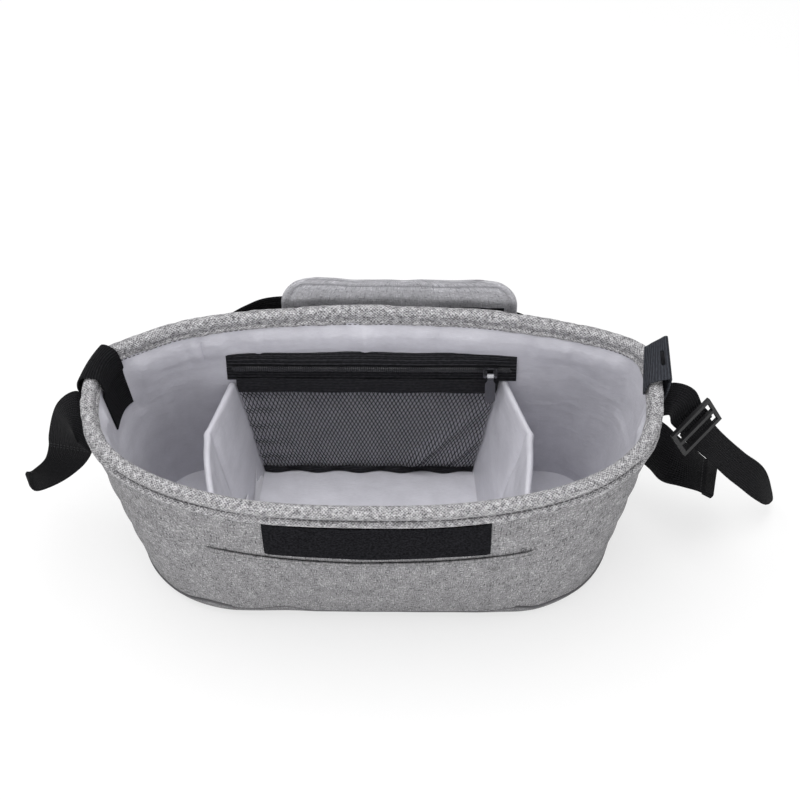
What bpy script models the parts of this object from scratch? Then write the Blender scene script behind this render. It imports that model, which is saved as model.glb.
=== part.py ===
# Stroller bag: a padded, open-topped organiser that hangs from a push handle, with a cup holder at
# each end, a zipped mesh pocket on its back wall, a flap thrown back behind it and webbing straps.
# Metres, +Z up. The origin is on the underside, in the middle of the base. +Y is the stroller side.
import math

import bmesh
import bpy
import numpy as np

for old_object in list(bpy.data.objects):
    bpy.data.objects.remove(old_object, do_unlink=True)

# Body
RIM_HALF_LENGTH = 0.176
RIM_FRONT_DEPTH = 0.096
RIM_BACK_DEPTH = 0.0745
RIM_FRONT_POWER = 2.6
RIM_BACK_POWER = 2.9
RIM_HEIGHT = 0.1336
RIM_END_RISE = 0.0082
RIM_BACK_DIP = 0.011
BASE_HALF_LENGTH = 0.1510
BASE_FRONT_DEPTH = 0.068
BASE_BACK_DEPTH = 0.0548
BASE_FRONT_CORNER = 0.066
BASE_BACK_CORNER = 0.040
FRONT_BULGE = 0.004
LEFT_CORNER_PULL = 0.0055
LEFT_CORNER_STATION = 21.3
LEFT_CORNER_SPAN = 1.7
CLEARANCE = 0.0003

# Layers of the wall, from the outside
FABRIC_THICKNESS = 0.0020
FOAM_THICKNESS = 0.0033
LINING_THICKNESS = 0.0007

# Base
BASE_SHELL = 0.0016
BASE_SHELL_HEIGHT = 0.0056
BASE_EDGE_RADIUS = 0.0030
PIPING_RADIUS = 0.0010
CORNER_SEAM_STATION = 5.0
SEAM_STATION_GAP = 0.019
BOARD_THICKNESS = 0.0024

# Binding round the rim
ROLL_RADIUS = 0.0044
BINDING_DROP = 0.0096
BINDING_WELT = 0.0022
BINDING_INNER_DROP = 0.0090
BINDING_INNER_FLANGE = 0.0013
ROLL_NECK = 0.0046

# Front pocket and closing strip
POCKET_LAYER = 0.0009
POCKET_MOUTH_HEIGHT = 0.083
POCKET_MOUTH_SAG = 0.006
POCKET_HEM = 0.006
POCKET_HEM_RISE = 0.0006
POCKET_MOUTH_GAP = 0.0006
POCKET_SIDE_STATIONS = 6.5
STRIP_LENGTH = 0.135
STRIP_HEIGHT = 0.034
STRIP_THICKNESS = 0.0015
STRIP_CENTRE = 0.004

# Dividers: (x at the bottom, x at the top, height) at the back wall, the crease and the front wall
DIVIDER_THICKNESS = 0.0050
LEFT_DIVIDER = ((-0.079, -0.094, 0.083), (-0.084, -0.107, 0.079), (-0.084, -0.090, 0.068))
RIGHT_DIVIDER = ((0.067, 0.083, 0.086), (0.073, 0.099, 0.080), (0.080, 0.090, 0.070))
DIVIDER_CREASE = 0.30
DIVIDER_CREASE_FOOT = 0.60
DIVIDER_EDGE = 0.45

# Mesh pocket with its zip, on the inside of the back wall
ZIP_LEFT = -0.0967
ZIP_RIGHT = 0.0911
ZIP_HEIGHT = 0.0965
ZIP_TAPE = 0.0100
ZIP_TAPE_THICKNESS = 0.0008
COIL_WIDTH = 0.0044
COIL_HEIGHT = 0.0020
COIL_PITCH = 0.0060
COIL_END_SHARE = 0.02
COIL_GROOVE = 0.8
BAND_TOP = ZIP_HEIGHT - 0.0085
BAND_BOTTOM = BAND_TOP - 0.0110
BAND_THICKNESS = 0.0012
MESH_THICKNESS = 0.0008
MESH_BOTTOM = 0.0120
MESH_COLUMNS = 12
MESH_ROWS = 5
MESH_OPEN_SHARE = 0.72
MESH_STANDOFF = 0.0016
MESH_HEM = 0.0042

# Zip slider and pull
SLIDER_LENGTH = 0.0090
SLIDER_WALL = 0.0010
SLIDER_REST = 0.074
BRIDGE_RADIUS = 0.0008
BRIDGE_REACH = 0.0034
BRIDGE_HALF_SPAN = 0.0026
PULL_LENGTH = 0.0220
PULL_WIDTH = 0.0066
PULL_THICKNESS = 0.0012
PULL_EYE_GAP = 0.0005
PULL_EYE_WALL = 0.0011
PULL_NECK = 0.0010
PULL_SHOULDER = 0.0030
PULL_CORNER = 0.0020

# Flap
FLAP_WIDTH = 0.152
FLAP_CENTRE = 0.015
FLAP_THICKNESS = 0.0040
FLAP_CORNER = 0.022
FLAP_ROOT_HEIGHT = 0.117
FLAP_TURN_HEIGHT = 0.026
FLAP_TURN_RADIUS = 0.0050
FLAP_TIP_HEIGHT = 0.150
FLAP_STRIP_THICKNESS = 0.0012
FLAP_STRIP_HEIGHT = 0.022

# Webbing
WEBBING_THICKNESS = 0.0014
ANCHOR_WIDTH = 0.034
ANCHOR_DROP = 0.042
ANCHOR_OUTER_SHARE = 0.6
ANCHOR_NEAR_END = -0.002
ANCHOR_CHORD_GAP = 0.0034
ANCHOR_SLOT_LENGTH = 0.0130
ANCHOR_SLOT_WIDTH = 0.0026
ANCHOR_SLOT_TALL = 0.0030
ANCHOR_EASE = 0.006
ANCHOR_LEG_TOP = 0.002
WIDE_STRAP = 0.038
NARROW_STRAP = 0.025
STRAP_HEM = 2.4 * WEBBING_THICKNESS
ADJUSTER_BAR = 0.0024
ADJUSTER_SLOT = 0.0068
ADJUSTER_RAIL = 0.0022
ADJUSTER_THICKNESS = 0.0026
ADJUSTER_ROOM = 0.0030
ADJUSTER_CREST = 0.8
ADJUSTER_RUN = 0.74

FRONT_STATIONS = 14
BACK_STATIONS = 12
STATIONS = 2 * (FRONT_STATIONS + BACK_STATIONS)
BACK_MIDDLE = BACK_STATIONS
LEFT_END = 2 * BACK_STATIONS
FRONT_MIDDLE = LEFT_END + FRONT_STATIONS
LEVELS = (0.0, 0.12, 0.28, 0.46, 0.64, 0.82, 1.0)
WALL_TOP = 1.0 - (ROLL_NECK + CLEARANCE) / RIM_HEIGHT

FOAM_DEPTH = FABRIC_THICKNESS + CLEARANCE
LINING_DEPTH = FOAM_DEPTH + FOAM_THICKNESS + CLEARANCE
WALL_DEPTH = LINING_DEPTH + LINING_THICKNESS
PIPING_HEIGHT = BASE_SHELL_HEIGHT + CLEARANCE + PIPING_RADIUS
PANEL_BOTTOM = PIPING_HEIGHT + PIPING_RADIUS + CLEARANCE
BOARD_BOTTOM = BASE_SHELL + CLEARANCE
FLOOR_BOTTOM = BOARD_BOTTOM + BOARD_THICKNESS + CLEARANCE
FLOOR_TOP = FLOOR_BOTTOM + LINING_THICKNESS


def make_material(name, colour, roughness, metallic=0.0):
    material = bpy.data.materials.new(name)
    material.use_nodes = True
    shader = material.node_tree.nodes["Principled BSDF"]
    shader.inputs["Base Color"].default_value = (*colour, 1.0)
    shader.inputs["Roughness"].default_value = roughness
    shader.inputs["Metallic"].default_value = metallic
    return material


HEATHER_GREY = ("heather_grey", (0.30, 0.30, 0.31), 0.95)
BINDING_GREY = ("binding_grey", (0.40, 0.40, 0.41), 0.92)
LINING_GREY = ("lining_grey", (0.52, 0.51, 0.56), 0.55)
FOAM_WHITE = ("foam_white", (0.75, 0.74, 0.70), 0.95)
BOARD_GREY = ("board_grey", (0.20, 0.20, 0.20), 0.80)
TRIM_BLACK = ("trim_black", (0.014, 0.014, 0.016), 0.70)
LOOP_BLACK = ("loop_black", (0.010, 0.010, 0.011), 0.98)
WEBBING_BLACK = ("webbing_black", (0.020, 0.020, 0.023), 0.85)
WEBBING_SLATE = ("webbing_slate", (0.050, 0.053, 0.062), 0.80)
PLASTIC_BLACK = ("plastic_black", (0.015, 0.015, 0.017), 0.40)
NICKEL = ("dark_nickel", (0.16, 0.16, 0.17), 0.32, 1.0)


def add_solid(name, points, faces, finish):
    """One node: a mesh from points and faces, all facing outwards, with a material of its own."""
    mesh = bpy.data.meshes.new(name)
    mesh.from_pydata([tuple(map(float, point)) for point in points], [], faces)
    shape = bmesh.new()
    shape.from_mesh(mesh)
    bmesh.ops.remove_doubles(shape, verts=shape.verts, dist=1e-6)
    bmesh.ops.recalc_face_normals(shape, faces=shape.faces)
    shape.to_mesh(mesh)
    shape.free()
    solid = bpy.data.objects.new(name, mesh)
    bpy.context.scene.collection.objects.link(solid)
    mesh.materials.append(make_material(f"{name}_{finish[0]}", *finish[1:]))
    mesh.shade_smooth()
    mesh.set_sharp_from_angle(angle=math.radians(35))
    return solid


def cut(solid, cutter):
    """Cuts one closed shape out of another."""
    cutter.hide_render = True
    cutter.display_type = "WIRE"
    knife = solid.modifiers.new("cut", "BOOLEAN")
    knife.operation = "DIFFERENCE"
    knife.object = cutter


def quarter_by_length(points, steps):
    """Points spaced evenly along a quarter outline, the last one left out."""
    points = np.array(points)
    run = np.concatenate([[0.0], np.cumsum(np.linalg.norm(np.diff(points, axis=0), axis=1))])
    wanted = np.linspace(0.0, run[-1], steps + 1)[:-1]
    return np.stack([np.interp(wanted, run, points[:, axis]) for axis in (0, 1)], axis=1)


def rounded_quarter(half_length, depth, corner):
    """A quarter of a rounded rectangle, from its end to its middle."""
    turns = np.linspace(0.0, math.pi / 2, 40)
    bend = [
        (half_length - corner + corner * math.cos(t), depth - corner + corner * math.sin(t))
        for t in turns
    ]
    return [(half_length, 0.0), *bend, (0.0, depth)]


def oval_quarter(half_length, depth, power):
    """A quarter of a superellipse, from its end to its middle."""
    turns = np.linspace(0.0, math.pi / 2, 400)
    along = np.abs(np.cos(turns)) ** (2 / power) * half_length
    across = np.abs(np.sin(turns)) ** (2 / power) * depth
    return np.stack([along, across], axis=1)


def whole_outline(back_quarter, front_quarter):
    """The outline all round, counter-clockwise from the right end, from a back and a front quarter."""
    right_back = quarter_by_length(back_quarter, BACK_STATIONS)
    left_back = quarter_by_length(back_quarter[::-1], BACK_STATIONS) * (-1, 1)
    left_front = quarter_by_length(front_quarter, FRONT_STATIONS) * (-1, -1)
    right_front = quarter_by_length(front_quarter[::-1], FRONT_STATIONS) * (1, -1)
    return np.concatenate([right_back, left_back, left_front, right_front])


def outward(outline):
    """The outward direction at each point of an outline."""
    along = np.roll(outline, -1, axis=0) - np.roll(outline, 1, axis=0)
    along /= np.linalg.norm(along, axis=1)[:, None]
    return np.stack([along[:, 1], -along[:, 0]], axis=1)


def wall_outlines():
    """The outline and its outward directions at each level of the wall."""
    base = whole_outline(
        rounded_quarter(BASE_HALF_LENGTH, BASE_BACK_DEPTH, BASE_BACK_CORNER),
        rounded_quarter(BASE_HALF_LENGTH, BASE_FRONT_DEPTH, BASE_FRONT_CORNER),
    )
    rim = whole_outline(
        oval_quarter(RIM_HALF_LENGTH, RIM_BACK_DEPTH, RIM_BACK_POWER),
        oval_quarter(RIM_HALF_LENGTH, RIM_FRONT_DEPTH, RIM_FRONT_POWER),
    )
    outlines = []
    for level in LEVELS:
        outline = base * (1 - level) + rim * level
        facing_front = np.clip(-outward(outline)[:, 1], 0.0, 1.0)
        bulge = FRONT_BULGE * 4 * level * (1 - level) * facing_front**2
        from_corner = (np.arange(STATIONS) - LEFT_CORNER_STATION) / LEFT_CORNER_SPAN
        pull = LEFT_CORNER_PULL * level * np.exp(-(from_corner**2))
        outline = outline + outward(outline) * (bulge - pull)[:, None]
        outlines.append((outline, outward(outline)))
    return outlines


OUTLINES = wall_outlines()


def rim_height(x, y):
    share = min(abs(x) / RIM_HALF_LENGTH, 1.0)
    if y < 0:
        return RIM_HEIGHT + RIM_END_RISE * share**2
    return RIM_HEIGHT + RIM_END_RISE * share**6 - RIM_BACK_DIP * (share**2 - share**6)


RIM_HEIGHTS = [rim_height(*point) for point in OUTLINES[-1][0]]


def round_station(values, station):
    """A value between two stations, counted round the bag."""
    low = math.floor(station)
    share = station - low
    first, second = values[low % STATIONS], values[(low + 1) % STATIONS]
    return first * (1 - share) + second * share


def wall_point(station, level, inward=0.0):
    """A point of the wall: level 0 is the underside and 1 the rim, inward counts from the outside."""
    height = level * round_station(RIM_HEIGHTS, station)
    level = min(max(level, 0.0), 1.0)
    row = min(int(np.searchsorted(LEVELS, level, side="right")) - 1, len(LEVELS) - 2)
    share = (level - LEVELS[row]) / (LEVELS[row + 1] - LEVELS[row])
    spot = np.zeros(2)
    for (outline, facing), weight in ((OUTLINES[row], 1 - share), (OUTLINES[row + 1], share)):
        if weight:
            spot += weight * (round_station(outline, station) - inward * round_station(facing, station))
    return np.array([spot[0], spot[1], height])


def level_at(station, height):
    return height / round_station(RIM_HEIGHTS, station)


def wall_y(x, height, low_station, high_station, inward):
    """The wall's y at an x and a height, between two stations where x runs one way."""
    def x_at(station):
        return wall_point(station, level_at(station, height), inward)[0]

    rising = x_at(high_station) > x_at(low_station)
    for _ in range(40):
        middle = (low_station + high_station) / 2
        if (x_at(middle) < x) == rising:
            low_station = middle
        else:
            high_station = middle
    return wall_point(low_station, level_at(low_station, height), inward)[1]


def back_wall_y(x, height, inward):
    return wall_y(x, height, 0, LEFT_END, inward)


def front_wall_y(x, height, inward):
    return wall_y(x, height, LEFT_END, STATIONS, inward)


def sheet_faces(columns, rows, ring=False):
    """Quads of a solid sheet. Its points are the outer face, column by column, then the inner face."""
    faces = []
    size = columns * rows
    for column in range(columns if ring else columns - 1):
        after = (column + 1) % columns
        for row in range(rows - 1):
            near, far = column * rows + row, after * rows + row
            faces.append((near, far, far + 1, near + 1))
            faces.append((size + near, size + near + 1, size + far + 1, size + far))
        for row in (0, rows - 1):
            near, far = column * rows + row, after * rows + row
            faces.append((near, far, size + far, size + near))
    if not ring:
        for column in (0, columns - 1):
            for row in range(rows - 1):
                near = column * rows + row
                faces.append((near, near + 1, size + near + 1, size + near))
    return faces


def wall_sheet(name, stations, levels, outer, inner, finish, ring=False):
    """A layer of the wall. outer and inner are depths, or functions of a station and a level number."""
    points = []
    for depth in (outer, inner):
        for station in stations:
            for row, level in enumerate(levels):
                inward = depth(station, row) if callable(depth) else depth
                height = level(station) if callable(level) else level
                points.append(wall_point(station, height, inward))
    return add_solid(name, points, sheet_faces(len(stations), len(levels), ring), finish)


def wall_ring(name, profile, finish):
    """A closed profile of (inward, height below the rim) points, swept all round the rim."""
    points = []
    for station in range(STATIONS):
        for inward, drop in profile:
            level = 1 - drop / RIM_HEIGHTS[station]
            points.append(wall_point(station, level, inward))
    return add_solid(name, points, ring_faces(len(profile)), finish)


def ring_faces(count):
    faces = []
    for station in range(STATIONS):
        after = (station + 1) % STATIONS
        for corner in range(count):
            turn = (corner + 1) % count
            near, far = station * count, after * count
            faces.append((near + corner, far + corner, far + turn, near + turn))
    return faces


def floor_plate(name, inward, bottom, top, finish):
    """A flat plate with the outline of the floor."""
    points = [wall_point(station, level_at(station, bottom), inward) for station in range(STATIONS)]
    points += [point + (0, 0, top - bottom) for point in points]
    faces = [tuple(range(STATIONS)), tuple(range(STATIONS, 2 * STATIONS))]
    for station in range(STATIONS):
        after = (station + 1) % STATIONS
        faces.append((station, after, STATIONS + after, STATIONS + station))
    return add_solid(name, points, faces, finish)


def build_base():
    """A shallow tray of base fabric, turned up to the piped seam, with a stiff board in it."""
    profile = (
        (BASE_SHELL, BASE_SHELL_HEIGHT),
        (0.0, BASE_SHELL_HEIGHT),
        (0.0, BASE_EDGE_RADIUS),
        (BASE_EDGE_RADIUS * 0.3, BASE_EDGE_RADIUS * 0.3),
        (BASE_EDGE_RADIUS, 0.0),
    )
    inner_profile = (
        (BASE_EDGE_RADIUS + BASE_SHELL / 2, BASE_SHELL),
        (BASE_SHELL, BASE_EDGE_RADIUS + BASE_SHELL / 4),
    )
    rows = profile + inner_profile
    count = len(rows)
    points = []
    for station in range(STATIONS):
        for inward, height in rows:
            points.append(wall_point(station, level_at(station, height), inward))
    faces = []
    for station in range(STATIONS):
        after = (station + 1) % STATIONS
        for corner in range(count):
            if corner == len(profile) - 1:
                continue
            turn = (corner + 1) % count
            near, far = station * count, after * count
            faces.append((near + corner, far + corner, far + turn, near + turn))
    for corner in (len(profile) - 1, len(profile)):
        faces.append(tuple(station * count + corner for station in range(STATIONS)))
    add_solid("base_panel", points, faces, HEATHER_GREY)

    piping = []
    for turn in range(6):
        angle = math.radians(60 * turn)
        piping.append((PIPING_RADIUS * math.cos(angle), PIPING_HEIGHT + PIPING_RADIUS * math.sin(angle)))
    points = []
    for station in range(STATIONS):
        for inward, height in piping:
            points.append(wall_point(station, level_at(station, height), inward))
    add_solid("base_piping", points, ring_faces(len(piping)), BINDING_GREY)

    board_inset = LINING_DEPTH + CLEARANCE
    floor_plate("base_board", board_inset, BOARD_BOTTOM, BOARD_BOTTOM + BOARD_THICKNESS, BOARD_GREY)
    floor_plate("floor_lining", WALL_DEPTH + CLEARANCE, FLOOR_BOTTOM, FLOOR_TOP, LINING_GREY)


def pocket_mouth(station):
    """The level of the front pocket's mouth, which sags in the middle."""
    share = min(abs(station - FRONT_MIDDLE) / POCKET_SIDE_STATIONS, 1.0)
    height = POCKET_MOUTH_HEIGHT + POCKET_MOUTH_SAG * share**2
    return level_at(station, height)


def build_outer_walls():
    """The front panel, which wraps round both ends, and the back panel between the corner seams."""
    bottom = PANEL_BOTTOM / RIM_HEIGHT
    seam = CORNER_SEAM_STATION
    seam_gap = SEAM_STATION_GAP
    left_side = FRONT_MIDDLE - POCKET_SIDE_STATIONS
    right_side = FRONT_MIDDLE + POCKET_SIDE_STATIONS
    last_whole = math.ceil(seam) - 1
    whole = range(LEFT_END - last_whole, STATIONS + last_whole + 1)
    stations = [LEFT_END - seam, *whole, STATIONS + seam]
    edges = (left_side - seam_gap, left_side, right_side, right_side + seam_gap)
    stations = sorted(set(stations) | set(edges))
    hem = POCKET_HEM / RIM_HEIGHT
    mouth_gap = POCKET_MOUTH_GAP / RIM_HEIGHT
    recess = POCKET_LAYER + CLEARANCE
    panel_levels = (
        bottom,
        *LEVELS[1:4],
        lambda station: pocket_mouth(station) - hem,
        pocket_mouth,
        lambda station: pocket_mouth(station) + mouth_gap,
        LEVELS[5],
        WALL_TOP,
    )

    def panel_face(station, row):
        inside = left_side <= station <= right_side
        return recess if inside and row <= 5 else 0.0

    wall_sheet("front_panel", stations, panel_levels, panel_face, FABRIC_THICKNESS, HEATHER_GREY)

    pocket_stations = [station for station in stations if left_side <= station <= right_side]

    def pocket_face(station, row):
        return -POCKET_HEM_RISE if row >= 4 else 0.0

    pocket_stations[0] = left_side + seam_gap
    pocket_stations[-1] = right_side - seam_gap
    wall_sheet("front_pocket", pocket_stations, panel_levels[:6], pocket_face, POCKET_LAYER, HEATHER_GREY)

    first_whole = math.floor(seam) + 1
    back = [seam + seam_gap, *range(first_whole, LEFT_END - first_whole + 1), LEFT_END - seam - seam_gap]
    levels = (bottom, *LEVELS[1:6], WALL_TOP)
    wall_sheet("back_panel", back, levels, 0.0, FABRIC_THICKNESS, HEATHER_GREY)


def build_inner_walls():
    ring = range(STATIONS)
    foam_bottom = (BASE_EDGE_RADIUS + CLEARANCE) / RIM_HEIGHT
    foam_levels = (foam_bottom, *LEVELS[1:6], WALL_TOP)
    foam_face = LINING_DEPTH - CLEARANCE
    wall_sheet("wall_foam", ring, foam_levels, FOAM_DEPTH, foam_face, FOAM_WHITE, ring=True)
    lining_levels = (FLOOR_BOTTOM / RIM_HEIGHT, *LEVELS[1:6], WALL_TOP)
    wall_sheet("wall_lining", ring, lining_levels, LINING_DEPTH, WALL_DEPTH, LINING_GREY, ring=True)


def build_binding():
    """The bound edge: a roll on top, a welt outside and a narrow flange inside."""
    middle = WALL_DEPTH / 2
    profile = []
    for turn in range(9):
        angle = math.radians(-48 + 34.5 * turn)
        profile.append((middle - ROLL_RADIUS * math.cos(angle), -ROLL_RADIUS * math.sin(angle)))
    inner = WALL_DEPTH + CLEARANCE
    profile += [
        (inner + BINDING_INNER_FLANGE, BINDING_INNER_DROP * 0.58),
        (inner + BINDING_INNER_FLANGE, BINDING_INNER_DROP * 0.92),
        (inner, BINDING_INNER_DROP),
        (inner, ROLL_NECK),
        (-CLEARANCE, ROLL_NECK),
        (-CLEARANCE, BINDING_DROP),
        (-BINDING_WELT * 0.75, BINDING_DROP * 0.92),
        (-BINDING_WELT, BINDING_DROP * 0.66),
        (-BINDING_WELT * 0.72, BINDING_DROP * 0.48),
        (0.0, BINDING_DROP * 0.39),
    ]
    wall_ring("rim_binding", profile, BINDING_GREY)


def build_closure_strip():
    """The loop strip on the front, just under the binding."""
    top = 1 - (BINDING_DROP + 2 * CLEARANCE) / RIM_HEIGHT
    bottom = top - STRIP_HEIGHT / RIM_HEIGHT

    def station_at(x):
        low, high = LEFT_END, STATIONS
        for _ in range(40):
            middle = (low + high) / 2
            if wall_point(middle, top)[0] < x:
                low = middle
            else:
                high = middle
        return low

    left = station_at(STRIP_CENTRE - STRIP_LENGTH / 2)
    right = station_at(STRIP_CENTRE + STRIP_LENGTH / 2)
    inside = range(math.ceil(left), math.floor(right) + 1)
    stations = sorted({left, right, *inside})
    levels = (bottom, LEVELS[5], top)
    face = -CLEARANCE - STRIP_THICKNESS
    wall_sheet("front_closure_strip", stations, levels, face, -CLEARANCE, LOOP_BLACK)


def divider_curve(values, share):
    """A value along a divider, from the back wall through the crease to the front wall."""
    back, crease, front = values
    if share < DIVIDER_CREASE:
        return back + (crease - back) * share / DIVIDER_CREASE
    rest = (share - DIVIDER_CREASE) / (1 - DIVIDER_CREASE)
    return crease + (front - crease) * (1 - math.cos(rest * math.pi / 2))


def crease_shift(share, level):
    """Moves a share along a divider, so that its crease slants forwards from its top to its foot."""
    crease = DIVIDER_CREASE * level + DIVIDER_CREASE_FOOT * (1 - level)
    if share < DIVIDER_CREASE:
        return share / DIVIDER_CREASE * crease
    return crease + (share - DIVIDER_CREASE) / (1 - DIVIDER_CREASE) * (1 - crease)


def build_divider(name, plan):
    """A padded wall across the bag, bowed towards its cup holder."""
    bottoms, tops, heights = zip(*plan)
    shares = [0.0, 0.15, DIVIDER_CREASE, 0.45, 0.60, 0.80, 1.0]
    levels = [0.0, 0.3, 0.65, 0.93, 1.0]
    reach = WALL_DEPTH + 2 * CLEARANCE
    points = []
    for side in (1, -1):
        for share in shares:
            for level in levels:
                floor = FLOOR_TOP + CLEARANCE
                height = floor + (divider_curve(heights, share) - floor) * level
                x = divider_curve(bottoms, share) * (1 - level) + divider_curve(tops, share) * level
                half = DIVIDER_THICKNESS / 2 * (DIVIDER_EDGE if level == levels[-1] else 1.0)
                x += side * half
                back = back_wall_y(x, height, reach)
                front = front_wall_y(x, height, reach)
                points.append((x, back + (front - back) * crease_shift(share, level), height))
    faces = sheet_faces(len(shares), len(levels))
    return add_solid(name, points, faces, LINING_GREY)


def between_dividers(height, share):
    """The x at a share of the way from the left divider to the right one, along the back wall."""
    ends = []
    for plan, side in ((LEFT_DIVIDER, 1), (RIGHT_DIVIDER, -1)):
        bottom, top, tall = plan[0]
        level = (height - FLOOR_TOP) / (tall - FLOOR_TOP)
        x = bottom + (top - bottom) * min(level, 1.0)
        ends.append(x + side * (DIVIDER_THICKNESS / 2 + 2 * CLEARANCE))
    return ends[0] + (ends[1] - ends[0]) * share


def zip_plane_y(height):
    """The zip runs straight, so it lies in the plane that the wall's lining reaches at its ends."""
    reach = WALL_DEPTH + CLEARANCE + ZIP_TAPE_THICKNESS
    return min(back_wall_y(x, height, reach) for x in (ZIP_LEFT, ZIP_RIGHT))


ZIP_Y = zip_plane_y(ZIP_HEIGHT)
ZIP_LEAN = (zip_plane_y(ZIP_HEIGHT + ZIP_TAPE) - ZIP_Y) / ZIP_TAPE


def along_zip(height, share):
    return ZIP_LEFT + (ZIP_RIGHT - ZIP_LEFT) * share


def strip_solid(name, rows, columns, thickness, finish, across=between_dividers):
    """A cloth strip across the back wall. Each row is (height, function of x that gives y)."""
    points = []
    for layer in (0.0, thickness):
        for share in np.linspace(0, 1, columns):
            for height, y_at in rows:
                x = across(height, share)
                points.append((x, y_at(x) - layer, height))
    return add_solid(name, points, sheet_faces(columns, len(rows)), finish)


def build_zip():
    """Two tapes with the coil between them, in front of the lining."""
    half_coil = COIL_WIDTH / 2
    top = ZIP_HEIGHT + ZIP_TAPE
    bottom = ZIP_HEIGHT - ZIP_TAPE
    tape_reach = WALL_DEPTH + 2 * CLEARANCE

    def on_plane(height):
        return lambda x: ZIP_Y + ZIP_LEAN * (height - ZIP_HEIGHT)

    upper = [
        (ZIP_HEIGHT + CLEARANCE / 2, on_plane(ZIP_HEIGHT + CLEARANCE / 2)),
        (ZIP_HEIGHT + half_coil, on_plane(ZIP_HEIGHT + half_coil)),
        (top, lambda x: back_wall_y(x, top, tape_reach)),
    ]
    lower = [
        (bottom, on_plane(bottom)),
        (ZIP_HEIGHT - CLEARANCE / 2, on_plane(ZIP_HEIGHT - CLEARANCE / 2)),
    ]
    strip_solid("zip_tape_upper", upper, 9, ZIP_TAPE_THICKNESS, TRIM_BLACK, along_zip)
    strip_solid("zip_tape_lower", lower, 2, ZIP_TAPE_THICKNESS, TRIM_BLACK, along_zip)

    left = along_zip(ZIP_HEIGHT, COIL_END_SHARE)
    right = along_zip(ZIP_HEIGHT, 1 - COIL_END_SHARE)
    teeth = round((right - left) / COIL_PITCH)
    face = ZIP_Y - ZIP_TAPE_THICKNESS - CLEARANCE
    points = []
    for layer in (0, 1):
        for tooth in range(2 * teeth + 1):
            x = left + (right - left) * tooth / (2 * teeth)
            rise = COIL_HEIGHT * (1.0 if tooth % 2 else COIL_GROOVE)
            for side in (-1, 1):
                height = ZIP_HEIGHT + side * half_coil
                lean = ZIP_LEAN * (height - ZIP_HEIGHT)
                points.append((x, face + lean - layer * rise, height))
    faces = sheet_faces(2 * teeth + 1, 2)
    add_solid("zip_coil", points, faces, TRIM_BLACK)


def box_points(low, high):
    return [(x, y, z) for z in (low[2], high[2]) for y in (low[1], high[1]) for x in (low[0], high[0])]


def leaned(point):
    """Tilts a point of the zip's parts about the zip's line, so that they lie along the wall."""
    x, forward, up = point
    slope = math.atan(ZIP_LEAN)
    y = ZIP_Y - forward * math.cos(slope) + up * math.sin(slope)
    return (x, y, ZIP_HEIGHT + forward * math.sin(slope) + up * math.cos(slope))


def prism(profile, start, stop):
    """An outline of (forward, up) points, extruded along x, leaned with the wall."""
    points = [leaned((x, forward, up)) for x in (start, stop) for forward, up in profile]
    count = len(profile)
    faces = [tuple(range(count)), tuple(range(count, 2 * count))]
    for corner in range(count):
        turn = (corner + 1) % count
        faces.append((corner, turn, count + turn, count + corner))
    return points, faces


def build_slider():
    """A saddle over the coil, with a bridge for the pull."""
    inside = COIL_WIDTH / 2 + 2 * CLEARANCE
    outside = inside + SLIDER_WALL
    near = ZIP_TAPE_THICKNESS + CLEARANCE
    roof = near + CLEARANCE + COIL_HEIGHT + CLEARANCE
    face = roof + SLIDER_WALL
    saddle = [
        (near, -outside), (face, -outside), (face, outside), (near, outside),
        (near, inside), (roof, inside), (roof, -inside), (near, -inside),
    ]
    half = SLIDER_LENGTH / 2
    points, faces = prism(saddle, SLIDER_REST - half, SLIDER_REST + half)
    slider = add_solid("zip_slider", points, faces, NICKEL)

    axis = face + BRIDGE_REACH
    leg = BRIDGE_HALF_SPAN
    thick = 2 * BRIDGE_RADIUS
    pieces = []
    for side in (-1, 1):
        post = [(face - SLIDER_WALL / 2, -BRIDGE_RADIUS), (axis + BRIDGE_RADIUS, -BRIDGE_RADIUS)]
        post += [(axis + BRIDGE_RADIUS, BRIDGE_RADIUS), (face - SLIDER_WALL / 2, BRIDGE_RADIUS)]
        start = SLIDER_REST + side * leg
        pieces.append(prism(post, min(start, start + side * thick), max(start, start + side * thick)))
    bar = [
        (axis + BRIDGE_RADIUS * math.cos(math.radians(45 * turn + 22.5)),
         BRIDGE_RADIUS * math.sin(math.radians(45 * turn + 22.5)))
        for turn in range(8)
    ]
    pieces.append(prism(bar, SLIDER_REST - leg - thick / 2, SLIDER_REST + leg + thick / 2))
    for number, (points, faces) in enumerate(pieces):
        piece = add_solid(f"bridge_{number}", points, faces, NICKEL)
        piece.hide_render = True
        piece.display_type = "WIRE"
        join = slider.modifiers.new("bridge", "BOOLEAN")
        join.operation = "UNION"
        join.object = piece
    return axis


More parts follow.
